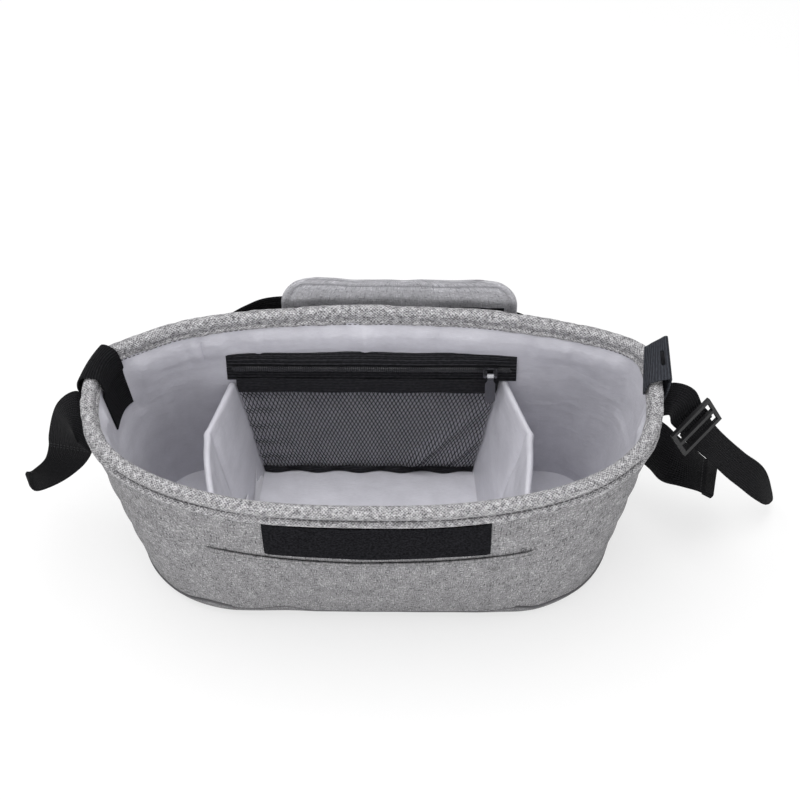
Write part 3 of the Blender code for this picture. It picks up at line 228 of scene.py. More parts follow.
# Materials
def startMaterial(name, colour, rough, metal=0.0, sheen=0.0):
    material = bpy.data.materials.new(name)
    material.use_nodes = True
    shader = material.node_tree.nodes["Principled BSDF"]
    shader.inputs["Base Color"].default_value = (*colour, 1)
    shader.inputs["Roughness"].default_value = rough
    shader.inputs["Metallic"].default_value = metal
    if sheen:
        shader.inputs["Sheen Weight"].default_value = sheen
        shader.inputs["Sheen Roughness"].default_value = 0.5
    return material, shader


def addNode(material, kind, inputs=None, **settings):
    node = material.node_tree.nodes.new(kind)
    for key, value in settings.items():
        setattr(node, key, value)
    for key, value in (inputs or {}).items():
        if isinstance(value, bpy.types.NodeSocket):
            material.node_tree.links.new(value, node.inputs[key])
        else:
            node.inputs[key].default_value = value
    return node


def mathNode(material, operation, first, second=0.0):
    return addNode(material, "ShaderNodeMath", {0: first, 1: second}, operation=operation).outputs[0]


def addUp(material, *parts):
    # a sum of values, each with its weight
    total = None
    for value, weight in parts:
        value = value if weight == 1 else mathNode(material, "MULTIPLY", value, weight)
        total = value if total is None else mathNode(material, "ADD", total, value)
    return total


def clothAxes(material):
    # the cloth's own UV map, whole and as its two lengths
    uv = addNode(material, "ShaderNodeUVMap").outputs[0]
    split = addNode(material, "ShaderNodeSeparateXYZ", {0: uv})
    return uv, split.outputs[0], split.outputs[1]


def colourFrom(material, shader, value, stops):
    material.node_tree.links.new(rampBetween(material, value, stops), shader.inputs["Base Color"])


def noiseNode(material, vector, scale, detail):
    settings = {"Vector": vector, "Scale": scale, "Detail": detail, "Roughness": 0.5}
    return addNode(material, "ShaderNodeTexNoise", settings).outputs["Fac"]


def objectNoise(material, scale, detail):
    return noiseNode(material, addNode(material, "ShaderNodeTexCoord").outputs["Object"], scale, detail)


def stretchedNoise(material, vector, scale, detail):
    mapped = addNode(material, "ShaderNodeMapping", {"Vector": vector, "Scale": (*scale, 1)}).outputs[0]
    return noiseNode(material, mapped, 1.0, detail)


def sineAlong(material, value, pitch):
    # a wave with this many metres between its crests
    return mathNode(material, "SINE", mathNode(material, "MULTIPLY", value, 2 * math.pi / pitch))


def crossedThreads(material, along, across, pitch):
    first, second = (sineAlong(material, value, pitch) for value in (along, across))
    return mathNode(material, "MULTIPLY", first, second)


def rampBetween(material, value, stops):
    ramp = addNode(material, "ShaderNodeValToRGB", {"Fac": value})
    elements = ramp.color_ramp.elements
    while len(elements) < len(stops):
        elements.new(0.5)
    for element, (place, colour) in zip(elements, stops):
        element.position = place
        element.color = (*colour, 1)
    return ramp.outputs["Color"]


def addBump(material, shader, height, strength, distance):
    settings = {"Height": height, "Strength": strength, "Distance": distance}
    made = addNode(material, "ShaderNodeBump", settings)
    material.node_tree.links.new(made.outputs["Normal"], shader.inputs["Normal"])


def heatherCloth(name, dark, middle, light, settings):
    # melange cloth: short dark and light flecks along both threads, over a plain weave
    material, shader = startMaterial(name, middle, 0.95)
    shader.inputs["Specular IOR Level"].default_value = 0.15
    uv, along, across = clothAxes(material)
    longer, shorter = settings["fleck"]
    weft = stretchedNoise(material, uv, (1 / longer, 1 / shorter), 1.5)
    warp = stretchedNoise(material, uv, (1 / shorter, 1 / longer), 1.5)
    wide = stretchedNoise(material, uv, (90, 70), 4.0)
    slub = stretchedNoise(material, uv, (900, 700), 2.0)
    streaks = mathNode(material, "MINIMUM", weft, warp)
    mixed = addUp(material, (streaks, 0.62), (slub, 0.38), (mathNode(material, "SUBTRACT", wide, 0.5), 0.16))
    colourFrom(material, shader, mixed, [(0.34, dark), (0.445, middle), (0.50, middle), (0.60, light)])
    threads = crossedThreads(material, along, across, settings["weave"])
    addBump(material, shader, addUp(material, (threads, 0.35), (mixed, 2.0)), 0.8, settings["depth"])
    return material


def ribbedCloth(name, dark, light, settings):
    # woven tape with ribs along its length, and fine cross threads
    material, shader = startMaterial(name, light, 0.75)
    shader.inputs["Specular IOR Level"].default_value = 0.10
    uv, along, across = clothAxes(material)
    ribs = sineAlong(material, across, settings["rib"])
    cross = sineAlong(material, along, settings["cross"])
    grain = stretchedNoise(material, uv, (400, 900), 2.0)
    colourFrom(material, shader, addUp(material, (ribs, 0.22), (grain, 1)), [(0.3, dark), (0.75, light)])
    addBump(material, shader, addUp(material, (ribs, 1), (cross, 0.5), (grain, 0.8)), 0.9, settings["depth"])
    return material


def twillCloth(name, dark, middle, light, settings):
    # twill with crossing strokes, whose slant turns round in columns along the binding
    material, shader = startMaterial(name, middle, 0.92)
    shader.inputs["Specular IOR Level"].default_value = 0.15
    uv, along, across = clothAxes(material)
    fold = mathNode(material, "PINGPONG", along, settings["column"])
    wander = stretchedNoise(material, uv, (160, 160), 1.0)
    slant = sineAlong(material, addUp(material, (across, 1), (fold, 1.1), (wander, 0.0022)), settings["rib"])
    back = sineAlong(material, addUp(material, (across, 1), (fold, -1.1), (wander, 0.0030)), settings["rib"])
    ribs = mathNode(material, "MAXIMUM", slant, mathNode(material, "MULTIPLY", back, 0.8))
    grain = stretchedNoise(material, uv, (700, 1100), 2.0)
    patch = stretchedNoise(material, uv, (320, 320), 2.0)
    colourFrom(material, shader, addUp(material, (ribs, 0.085), (grain, 0.5), (patch, 0.5)),
               [(0.36, dark), (0.52, middle), (0.69, light)])
    addBump(material, shader, addUp(material, (ribs, 0.7), (grain, 1)), 0.9, settings["depth"])
    return material


def smoothNylon(name, dark, light):
    # tightly woven nylon with a soft sheen
    material, shader = startMaterial(name, light, 0.42, sheen=0.08)
    uv, along, across = clothAxes(material)
    cloud = stretchedNoise(material, uv, (70, 70), 4.0)
    thread = stretchedNoise(material, uv, (300, 2500), 1.0)
    wrinkles = stretchedNoise(material, uv, (60, 130), 4.0)
    colourFrom(material, shader, addUp(material, (cloud, 0.6), (thread, 0.4)), [(0.3, dark), (0.7, light)])
    ribs = crossedThreads(material, along, across, 0.0005)
    addBump(material, shader, addUp(material, (ribs, 0.08), (thread, 0.2), (wrinkles, 3.0)), 0.45, 0.0007)
    return material


def roughPile(name, dark, light, pile):
    # fuzzy pile or foam, in object space
    material, shader = startMaterial(name, light, 1.0)
    shader.inputs["Specular IOR Level"].default_value = 0.08
    fuzz = objectNoise(material, pile, 4.0)
    colourFrom(material, shader, fuzz, [(0.35, dark), (0.72, light)])
    addBump(material, shader, fuzz, 0.9, 0.0005)
    return material


def hardSurface(name, colour, rough, metal, grainScale, depth):
    # moulded plastic or plated metal with a faint grain
    material, shader = startMaterial(name, colour, rough, metal)
    addBump(material, shader, objectNoise(material, grainScale, 3.0), 0.3, depth)
    return material


looks = {
    "cloth": heatherCloth("heatherCloth", (0.060, 0.059, 0.063), (0.262, 0.259, 0.267), (0.56, 0.555, 0.565),
                          {"fleck": (0.0056, 0.00075), "weave": 0.0011, "depth": 0.0005}),
    "paleCloth": heatherCloth("paleHeather", (0.26, 0.258, 0.275), (0.44, 0.437, 0.462), (0.60, 0.596, 0.625),
                              {"fleck": (0.0046, 0.0009), "weave": 0.0010, "depth": 0.0003}),
    "binding": twillCloth("bindingTwill", (0.11, 0.108, 0.113), (0.345, 0.34, 0.352), (0.68, 0.675, 0.69),
                          {"column": 0.0075, "rib": 0.0021, "depth": 0.0006}),
    "lining": smoothNylon("liningNylon", (0.49, 0.485, 0.530), (0.60, 0.595, 0.645)),
    "loop": roughPile("loopPile", (0.002, 0.002, 0.003), (0.016, 0.016, 0.019), 800),
    "foam": roughPile("foamWhite", (0.62, 0.61, 0.57), (0.80, 0.79, 0.75), 900),
    "trim": ribbedCloth("blackTape", (0.012, 0.012, 0.014), (0.038, 0.038, 0.043),
                        {"rib": 0.0013, "cross": 0.0008, "depth": 0.0003}),
    "net": ribbedCloth("blackNet", (0.012, 0.012, 0.014), (0.030, 0.030, 0.034),
                       {"rib": 0.0004, "cross": 0.0004, "depth": 0.0001}),
    "webbing": ribbedCloth("blackWebbing", (0.005, 0.005, 0.006), (0.015, 0.015, 0.017),
                           {"rib": 0.0017, "cross": 0.0010, "depth": 0.0005}),
    "slate": ribbedCloth("slateWebbing", (0.030, 0.032, 0.039), (0.062, 0.067, 0.080),
                         {"rib": 0.0017, "cross": 0.0010, "depth": 0.0005}),
    "thread": hardSurface("greyThread", (0.34, 0.335, 0.345), 0.8, 0.0, 3000, 0.0002),
    "darkThread": hardSurface("blackThread", (0.020, 0.020, 0.023), 0.8, 0.0, 3000, 0.0002),
    # dark grey: the colour of the seam thread, and painted shade where it colours the base piping
    "threadAndSeamShade": hardSurface("threadAndSeamShade", (0.10, 0.098, 0.104), 0.8, 0.0, 3000, 0.0002),
    "coil": hardSurface("coilBlack", (0.030, 0.030, 0.033), 0.25, 0.0, 1500, 0.0001),
    "plastic": hardSurface("plasticBlack", (0.006, 0.006, 0.007), 0.50, 0.0, 1800, 0.00012),
    "nickel": hardSurface("darkNickel", (0.16, 0.16, 0.17), 0.25, 1.0, 900, 0.00008),
    "board": hardSurface("boardGrey", (0.20, 0.20, 0.20), 0.7, 0.0, 500, 0.0002),
}
print("materials made")


# Making pieces
def finishPiece(piece, look, carrier, stands=(), angle=50):
    piece.data.materials.clear()
    piece.data.materials.append(looks[look])
    bpy.ops.object.select_all(action="DESELECT")
    piece.select_set(True)
    bpy.context.view_layer.objects.active = piece
    bpy.ops.object.shade_smooth_by_angle(angle=math.radians(angle))
    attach(piece, carrier)
    if stands:
        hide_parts(*stands)
    return piece


sameSpot = 2e-6


def closeUp(piece, capped, joined=True):
    # joins the seams, fills the open ends and turns the faces outwards
    bpy.context.view_layer.objects.active = piece
    bpy.ops.object.mode_set(mode="EDIT")
    bpy.ops.mesh.select_all(action="SELECT")
    if joined:
        bpy.ops.mesh.remove_doubles(threshold=sameSpot)
    if capped:
        bpy.ops.mesh.fill_holes(sides=0)
    bpy.ops.mesh.select_all(action="SELECT")
    bpy.ops.mesh.normals_make_consistent(inside=False)
    bpy.ops.object.mode_set(mode="OBJECT")


def thicken(piece, thickness, offset=-1):
    bpy.context.view_layer.objects.active = piece
    wall = piece.modifiers.new("thickness", "SOLIDIFY")
    wall.thickness = thickness
    wall.offset = offset
    bpy.ops.object.modifier_apply(modifier=wall.name)


def giveMesh(piece, points, faces):
    # a made mesh in place of the primitive's own
    mesh = bpy.data.meshes.new(piece.name)
    mesh.from_pydata(points.tolist(), [], faces)
    old = piece.data
    piece.data = mesh
    bpy.data.meshes.remove(old)
    return mesh


def paintNode(name, look):
    nodes[name].data.materials.clear()
    nodes[name].data.materials.append(looks[look])


def intoSpace(out):
    # flat directions as points in space
    return np.concatenate([out, np.zeros((len(out), 1))], 1)


def clothPiece(name, cells, place, size, closed=(False, False), thickness=0.0, capped=False):
    # a grid laid on a surface: place turns u and v, from 0 to 1, into points
    bpy.ops.object.select_all(action="DESELECT")
    bpy.ops.mesh.primitive_grid_add(x_subdivisions=cells[0], y_subdivisions=cells[1], size=1)
    piece = bpy.context.object
    piece.name = piece.data.name = name
    mesh = piece.data
    flat = np.empty(len(mesh.vertices) * 3)
    mesh.vertices.foreach_get("co", flat)
    flat = flat.reshape(-1, 3)
    spots = place(unit(flat[:, 0] + 0.5), unit(flat[:, 1] + 0.5))
    mesh.vertices.foreach_set("co", np.asarray(spots, float).ravel())
    layer = mesh.uv_layers.active.data
    uv = np.empty(len(layer) * 2)
    layer.foreach_get("uv", uv)
    layer.foreach_set("uv", (uv.reshape(-1, 2) * size).ravel())
    mesh.update()
    if any(closed) or capped:
        closeUp(piece, capped)
    if thickness:
        thicken(piece, thickness)
    return piece


def sewnPiece(name, cells, place, size, look, slot, node, **shape):
    piece = clothPiece(name, cells, place, size, **shape)
    return finishPiece(piece, look, "bag", [node])


def flattenUv(piece):
    # lays the cloth's threads straight along x and y where it lies flat
    layer = piece.data.uv_layers.active.data
    for face in piece.data.polygons:
        if abs(face.normal.z) > 0.7:
            for corner in face.loop_indices:
                layer[corner].uv = piece.data.vertices[piece.data.loops[corner].vertex_index].co.xy


def stitchRow(name, path, facing, settings, look="thread", slot="heather_fabric"):
    # one row of thread stitches along a path, each lying flat on the cloth
    path, facing = np.asarray(path, float), np.asarray(facing, float)
    run = runAlong(path)
    pitch = settings["length"] + settings["gap"]
    count = max(int(run[-1] / pitch), 1)
    bpy.ops.object.select_all(action="DESELECT")
    bpy.ops.mesh.primitive_uv_sphere_add(segments=6, ring_count=5, radius=1)
    piece = bpy.context.object
    piece.name = piece.data.name = name
    sphere = np.array([vertex.co for vertex in piece.data.vertices])
    faces = [tuple(face.vertices) for face in piece.data.polygons]
    points, allFaces = [], []
    for number in range(count):
        centre = (number + 0.5) * run[-1] / count
        spot = sampled(centre, run, path)
        forward = direction(sampled(centre + 0.0006, run, path) - sampled(centre - 0.0006, run, path))
        side = direction(np.cross(sampled(centre, run, facing), forward))
        up = np.cross(forward, side)
        scaled = (sphere[:, 2:3] * forward * settings["length"] / 2
                  + (sphere[:, 0:1] * side + sphere[:, 1:2] * up) * settings["radius"])
        allFaces += [tuple(index + len(points) * len(sphere) for index in face) for face in faces]
        points.append(scaled + spot)
    giveMesh(piece, np.concatenate(points), allFaces)
    return finishPiece(piece, look, "bag", angle=80)


# Outer cloth
outer = {"cells": (330, 76), "thickness": 0.0012, "seam": 5.0, "bottom": 0.0085, "seamDip": 0.0007,
         "seamGap": 0.015, "seamWaves": ((0.0062, 30.5, 1.1), (0.0072, 34.0, 0.9), (0.0022, 32.3, 1.0),
                                         (0.0054, 44.4, 0.9), (0.0030, 46.4, 0.8))}
wallTop = 1 - 0.0049 / body["height"]


def seamRise(station):
    # the seam to the base rides up in soft waves at the front corners
    waves = sum(height * bump(station, centre, width) for height, centre, width in outer["seamWaves"])
    return waves + 0.0003 * np.sin(station * 2.3)


def wallCreases(points, station, level):
    # how far the outer cloth stands off its plain shape
    lumps = lumpsOf(points, (0.0007, 0.055, 0.0), (0.0004, 0.024, 5.0))
    ends = unit(np.abs(points[:, 0]) / 0.16) ** 4
    folds = 0.0006 * ends * np.sin(points[:, 2] * 260 + points[:, 1] * 90)
    low = bump(level, 0.07, 0.05) * 0.0006 * np.sin(station * 5.2)
    return lumps + folds * (1 - level) * level * 3 + low


def outerPlace(first, last):
    def place(u, v):
        station = first + (last - first) * u
        bottom = (outer["bottom"] + seamRise(station)) / body["height"]
        level = bottom + (wallTop - bottom) * v
        points, out = wallAt(station, level)
        edge = np.minimum(bump(u, 0, 0.004) + bump(u, 1, 0.004), 1)
        fade = unit(v * 12) * unit((1 - v) * 9)
        push = wallCreases(points, station, level) * fade - outer["seamDip"] * edge
        points[:, :2] += out * push[:, None]
        return points
    return place


seam = outer["seam"]
frontPlace = outerPlace(leftEnd - seam, stations + seam)
frontCloth = sewnPiece("frontCloth", outer["cells"], frontPlace, (0.62, 0.125), "cloth", "heather_fabric",
                       "front_panel", thickness=outer["thickness"])
backPlace = outerPlace(seam + outer["seamGap"], leftEnd - seam - outer["seamGap"])
backCloth = sewnPiece("backCloth", (150, 70), backPlace, (0.27, 0.125), "cloth", "heather_fabric",
                      "back_panel", thickness=outer["thickness"])


# Base: cloth turned up to a piped seam
baseCloth = {"cells": (260, 16), "wall": 0.0012, "rise": 0.0058, "turned": 1 / 2.2, "inset": 0.0030,
             "reach": 0.054}
baseMiddle = np.array([0.0, -0.006])


def basePlace(u, v):
    station = stations * u
    turned, inset = baseCloth["turned"], baseCloth["inset"]
    turn = unit(v / turned)
    height = (baseCloth["rise"] + seamRise(station)) * (1 - turn) ** 1.6
    across = (v - turned) / (1 - turned)
    inward = np.where(v < turned, inset * turn**1.8, inset + across * baseCloth["reach"])
    points = wallAt(station, height / body["height"], inward)[0]
    share = unit(across)[:, None]
    ring = wallAt(station, 0.0 * station, inset)[0][:, :2]
    points[:, :2] = np.where(share > 0, ring * (1 - share) + baseMiddle * share, points[:, :2])
    points[:, 2] = height + 0.00002
    return points


baseSheet = clothPiece("baseCloth", baseCloth["cells"], basePlace, (0.76, 0.09), closed=(True, False),
                       thickness=baseCloth["wall"])
flattenUv(baseSheet)
finishPiece(baseSheet, "cloth", "bag", ["base_panel"])


def tubeRound(name, radius, centre, cells, size):
    # a closed tube all round the bag: centre gives its inward place and height at each station
    def place(u, v):
        station = stations * u
        angle = 2 * math.pi * v
        inward, height = centre(station)
        points, out = wallAt(station, levelOf(station, height), inward)
        points[:, :2] += out * (radius * np.cos(angle))[:, None]
        points[:, 2] += radius * np.sin(angle)
        return points
    return clothPiece(name, cells, place, size, closed=(True, True))


# the base piping is coloured dark grey: painted shade standing for the shadow in the base seam
piping = tubeRound("basePiping", 0.0010, lambda s: (0.0002, 0.0069 + seamRise(s)), (420, 8), (0.76, 0.007))
finishPiece(piping, "threadAndSeamShade", "bag", ["base_piping"])
print("outer cloth made")


# Binding round the rim: a roll on top, a welt outside, a flange inside
binding = {"cells": (620, 44), "roll": 0.0044, "drop": 0.0100, "welt": 0.0025, "flange": 0.0090,
           "pucker": 0.0003, "narrow": 0.80, "narrowFrom": 0.0042}


def bindingProfile():
    # inward and height points round the binding, from the welt's foot over the roll to the flange's foot
    middle, inner = wallDepth / 2, wallDepth
    roll, welt, drop, flange = (binding[key] for key in ("roll", "welt", "drop", "flange"))
    line = [(0.0006, -drop - 0.0004), (-0.0004, -drop), (-welt * 0.75, -drop * 0.93), (-welt, -drop * 0.76),
            (-welt * 0.93, -drop * 0.64), (-welt * 0.52, -drop * 0.52), (0.0003, -drop * 0.45),
            (0.0005, -drop * 0.40)]
    for turn in range(15):
        angle = math.radians(-38 + 256 / 14 * turn)
        line.append((middle - roll * math.cos(angle), roll * math.sin(angle)))
    line += [(inner + 0.0003, -flange * 0.40), (inner + 0.0013, -flange * 0.52),
             (inner + 0.0016, -flange * 0.80), (inner + 0.0012, -flange), (inner + 0.0001, -flange - 0.0003),
             (inner - 0.0012, -flange * 0.6), (middle, -0.0046), (0.0012, -drop * 0.7)]
    line = np.array(line + [line[0]])
    return line, runAlong(line)


profileLine, profileRun = bindingProfile()


def bindingPlace(u, v):
    station = stations * u
    along = v * profileRun[-1]
    inward, rise = sampled(along, profileRun, profileLine).T
    points, out = wallAt(station, fromRim(station, rise), inward)
    narrow = binding["narrow"] * (inward > wallDepth)
    ragged = 0.0007 * softNoise(points, 0.005, 12.0) * (inward > wallDepth) * (rise < -0.007)
    below = rise + binding["narrowFrom"]
    points[:, 2] -= below * narrow * (below < 0) - ragged
    pucker = binding["pucker"] * lumpsOf(points, (1, 0.0045, 2.0), (0.8, 0.012, 3.0))
    sway = 0.0006 * softNoise(points, 0.05, 9.0)
    points[:, :2] += out * (pucker + sway)[:, None]
    points[:, 2] += pucker + 0.0006 * softNoise(points, 0.04, 11.0)
    return points


sewnPiece("rimBinding", binding["cells"], bindingPlace, (0.86, float(profileRun[-1])), "binding",
          "binding_fabric", "rim_binding", closed=(True, True))
# a real row of stitches in the ditch under the roll, whose dark grey also paints the ditch's shade
ditch = np.linspace(0, stations, 900)
ditchPoints, ditchOut = wallAt(ditch, fromRim(ditch, -binding["drop"] * 0.44), -0.0001)
stitchRow("bindingStitches", ditchPoints, intoSpace(ditchOut),
          {"length": 0.0027, "gap": 0.0005, "radius": 0.00034}, look="threadAndSeamShade", slot="binding_fabric")
hemPoints, hemOut = wallAt(ditch, fromRim(ditch, -0.0058), wallDepth + 0.0008)
stitchRow("liningStitches", hemPoints, intoSpace(-hemOut),
          {"length": 0.0024, "gap": 0.0009, "radius": 0.00036}, look="threadAndSeamShade", slot="lining")
print("binding made")


# Lining
lining = {"cells": (520, 70), "thickness": 0.0006, "gathers": 0.0015, "seam": 18.4, "seamDip": 0.0016,
          "leftLeg": 23.0, "rightLeg": 0.9, "legHalf": 1.8, "legFade": 0.65, "legFoot": 0.60,
          "bottom": 0.0040}


def liningFolds(points, station, level):
    # soft folds all over, shallow behind the net, flat under the webbing's legs, and upright gathers
    # under the binding
    soft = 0.0010 + lumpsOf(points, (0.0006, 0.05, 20.0), (0.0004, 0.02, 21.0))
    behindNet = unit((station - 3.5) * 2) * unit((20.5 - station) * 2) * unit((0.83 - level) * 30)
    near = unit((level - 0.74) / 0.12)
    upright = np.stack([station * 0.017, level * 0.025, 0 * level], 1)
    gathers = lumpsOf(upright, (1, 0.009, 23.0), (0.6, 0.0045, 24.0))
    seamLine = lining["seamDip"] * bump(station, lining["seam"], 0.07)
    folds = soft * (1 - 0.75 * behindNet) + near * (lining["gathers"] * (0.9 + gathers) - seamLine)
    toLeft = np.abs(station - lining["leftLeg"])
    toRight = np.abs((station + 9) % stations - 9 - lining["rightLeg"])
    underLeg = unit((lining["legHalf"] - np.minimum(toLeft, toRight)) / lining["legFade"])
    return folds * (1 - underLeg * unit((level - lining["legFoot"]) * 20))


def liningPlace(u, v):
    station = stations * (1 - u)
    bottom = lining["bottom"] / body["height"]
    level = bottom + (wallTop - bottom) * v
    points, out = wallAt(station, level, liningDepth + 0.0001)
    fade = unit(v * 8) * unit((1 - v) * 14)
    points[:, :2] -= out * (liningFolds(points, station, level) * fade + lining["thickness"])[:, None]
    return points


wallLining = sewnPiece("wallLining", lining["cells"], liningPlace, (0.78, 0.13), "lining", "lining",
                       "wall_lining", closed=(True, False), thickness=lining["thickness"])


def floorPlace(u, v):
    station = stations * u
    ring = wallAt(station, 0.0 * station + floorTop / body["height"], wallDepth + 0.0003)[0]
    points = ring.copy()
    share = v[:, None]
    points[:, :2] = ring[:, :2] * (1 - share) + baseMiddle * share
    swell = 0.0012 * (1 - np.exp(-v * 14)) + 0.0006 * softNoise(points, 0.045, 31.0) * unit(v * 6)
    points[:, 2] = floorTop - 0.0005 + swell
    return points


floorSheet = clothPiece("floorLining", (220, 40), floorPlace, (0.70, 0.07), closed=(True, False),
                        thickness=0.0005)
flattenUv(floorSheet)
finishPiece(floorSheet, "lining", "bag", ["floor_lining"])
paintNode("wall_foam", "foam")
paintNode("base_board", "board")
print("lining made")


# Front pocket and closing strip
pocket = {"sides": 6.5, "mouth": 0.083, "sag": 0.006, "cloth": 0.0009, "hem": 0.0036, "gape": 0.0007,
          "hemRoll": 0.0005, "edgeFall": 60}


def mouthHeight(station):
    share = unit(np.abs(station - frontMiddle) / pocket["sides"])
    return pocket["mouth"] + pocket["sag"] * share**2


def pocketPlace(u, v):
    station = frontMiddle + pocket["sides"] * (2 * u - 1)
    low = outer["bottom"] + seamRise(station)
    height = low + (mouthHeight(station) - low) * v
    level = levelOf(station, height)
    points, out = wallAt(station, level)
    fade = unit(v * 12)
    push = wallCreases(points, station, level) * fade * unit((1 - level) * 9)
    share = unit(1 - np.abs(2 * u - 1) ** 6)
    lip = pocket["gape"] * share * unit((v - 0.85) / 0.15) ** 2
    edge = unit(np.minimum(u, 1 - u) * pocket["edgeFall"])
    hemRoll = pocket["hemRoll"] * (bump(v, 0.98, 0.02) - bump(v, 0.945, 0.010))
    lift = 0.0002 + lip + (pocket["cloth"] + hemRoll) * edge
    points[:, :2] += out * (push + lift)[:, None]
    return points


frontPocket = sewnPiece("frontPocket", (170, 50), pocketPlace, (0.27, 0.078), "cloth", "heather_fabric",
                        "front_pocket", thickness=0.0008)


def wallPath(station, level, push):
    points, out = wallAt(station, level)
    points[:, :2] += out * (wallCreases(points, station, level) + push)[:, None]
    return points, intoSpace(out)


mouthStations = np.linspace(frontMiddle - 6.3, frontMiddle + 6.3, 160)
mouthLevels = levelOf(mouthStations, mouthHeight(mouthStations) - pocket["hem"])
stitchRow("pocketMouthStitches", *wallPath(mouthStations, mouthLevels, 0.00135),
          {"length": 0.0024, "gap": 0.0008, "radius": 0.00024}, look="threadAndSeamShade")
for number, side in enumerate((-1, 1)):
    sideStations = np.full(60, frontMiddle + side * (pocket["sides"] - 0.12))
    stitchRow(f"pocketSideStitches{number}", *wallPath(sideStations, np.linspace(0.10, 0.63, 60), 0.0009),
              {"length": 0.0024, "gap": 0.0009, "radius": 0.00026})

strip = {"length": 0.135, "centre": 0.004, "height": 0.034, "top": 0.0106, "thickness": 0.0014}


def stripPlace(u, v):
    ends = [strip["centre"] + side * strip["length"] / 2 for side in (-1, 1)]
    left, right = (stationAtX(end, 0.92, True) * v + stationAtX(end, 0.67, True) * (1 - v) for end in ends)
    station = left + (right - left) * u
    height = roundTable(rimTable, station) - strip["top"] - strip["height"] * (1 - v)
    height = height + 0.0005 * np.sin(u * 9) * (1 - v)
    level = levelOf(station, height)
    points, out = wallAt(station, level)
    fade = unit((1 - v) * 3 + 0.3)
    push = 0.0003 + strip["thickness"] + wallCreases(points, station, level) * fade
    push = push + 0.0003 * softNoise(points, 0.012, 40.0) - 0.0006 * (bump(u, 0, 0.012) + bump(u, 1, 0.012))
    points[:, :2] += out * push[:, None]
    return points


sewnPiece("closingStrip", (120, 32), stripPlace, (0.135, 0.034), "loop", "loop_tape", "front_closure_strip",
          thickness=strip["thickness"])
print("front pocket and strip made")


# Dividers: padded walls across the bag
dividers = {
    "left": {"plan": ((-0.079, -0.094, 0.083), (-0.084, -0.107, 0.079), (-0.084, -0.090, 0.068)), "side": -1},
    "right": {"plan": ((0.067, 0.083, 0.086), (0.073, 0.099, 0.080), (0.080, 0.090, 0.070)), "side": 1},
}
padding = {"cells": (90, 72), "half": 0.0025, "crease": 0.30, "creaseFoot": 0.60, "swell": 0.0008,
           "topEdge": 0.94, "topRound": 0.0026, "ridge": 0.0022}


def dividerCurve(values, share):
    back, crease, front = values
    first = back + (crease - back) * unit(share / padding["crease"])
    rest = unit((share - padding["crease"]) / (1 - padding["crease"]))
    last = crease + (front - crease) * (1 - np.cos(rest * math.pi / 2))
    return np.where(share < padding["crease"], first, last)


def creaseShift(share, level):
    # the crease slants forwards from its top to its foot
    crease = padding["crease"] * level + padding["creaseFoot"] * (1 - level)
    before = share / padding["crease"] * crease
    after = crease + (share - padding["crease"]) / (1 - padding["crease"]) * (1 - crease)
    return np.where(share < padding["crease"], before, after)


def dividerPlace(plan, side):
    bottoms, tops, heights = zip(*plan)

    def place(u, v):
        # v runs up one face, over the top edge and down the other
        climb = 1 - np.abs(2 * v - 1)
        face = np.where(v < 0.5, 1.0, -1.0)
        topEdge, topRound = padding["topEdge"], padding["topRound"]
        level = unit(climb / topEdge)
        overTop = unit((climb - topEdge) / (1 - topEdge))
        top = dividerCurve(heights, u)
        rounded = topRound * np.sin(overTop * math.pi / 2)
        height = floorTop + 0.0004 + (top - floorTop - topRound) * level + rounded
        x = dividerCurve(bottoms, u) * (1 - level) + dividerCurve(tops, u) * level
        swell = padding["swell"] * np.sin(unit(u) * math.pi) ** 0.5 * np.sin(level * math.pi) ** 0.6
        half = (padding["half"] * (1 - 0.35 * u**3) + swell) * np.cos(overTop * math.pi / 2)
        line = np.stack([x, u * 0.11, height], 1)
        folds = lumpsOf(line, (0.0012, 0.026, 50.0), (0.0006, 0.011, 51.0))
        slack = 0.0016 * bump(u - 0.72 * (1 - level) * 0.35, 0.50, 0.05)
        slack = slack - 0.0012 * bump(u + 0.2 * level, 0.72, 0.05)
        ridge = padding["ridge"] * bump(u, padding["crease"], 0.020)
        ridge = ridge - 0.0010 * bump(u, padding["crease"] + 0.07, 0.04)
        x = x + face * half + side * ridge * unit(level * 4) * (1 - 0.8 * level**6)
        x = x + (folds + slack * level) * np.sin(level * math.pi) ** 0.5
        reach = wallDepth + 0.0014
        back, front = backY(x, height, reach), frontY(x, height, reach)
        return np.stack([x, back + (front - back) * creaseShift(u, level), height], 1)
    return place


def buildDivider(name, key, node):
    piece = clothPiece(name, padding["cells"], dividerPlace(**dividers[key]), (0.11, 0.16))
    closeUp(piece, capped=True, joined=False)
    finishPiece(piece, "lining", "bag", [node])


buildDivider("leftDivider", "left", "left_divider")
buildDivider("rightDivider", "right", "right_divider")
print("dividers made")


# Zip and mesh pocket, on the inside of the back wall
zipper = {"height": 0.0965, "tape": 0.0100, "coil": 0.0022, "pitch": 0.0013, "wire": 0.00038,
          "left": -0.0967, "right": 0.0911, "ends": 0.02, "ridge": 0.00028, "ridges": 4}
net = {"bandTop": 0.0880, "bandBottom": 0.0770, "bottom": 0.0120, "width": 0.0026, "row": 0.0026,
       "open": 0.82, "thread": 0.0004, "hem": 0.0042, "foldDepth": 0.0052, "sideFolds": 0.0014,
       "sag": 0.0020, "across": 0.158, "tuck": 0.0030, "uvSize": (0.165, 0.066)}


def betweenDividers(height, share):
    ends = []
    for key, side in (("left", 1), ("right", -1)):
        low, top, tall = dividers[key]["plan"][0]
        level = np.clip((height - floorTop) / (tall - floorTop), None, 1.0)
        ends.append(low + (top - low) * level + side * 0.0031)
    return ends[0] + (ends[1] - ends[0]) * share


def alongZip(share):
    return zipper["left"] + (zipper["right"] - zipper["left"]) * share


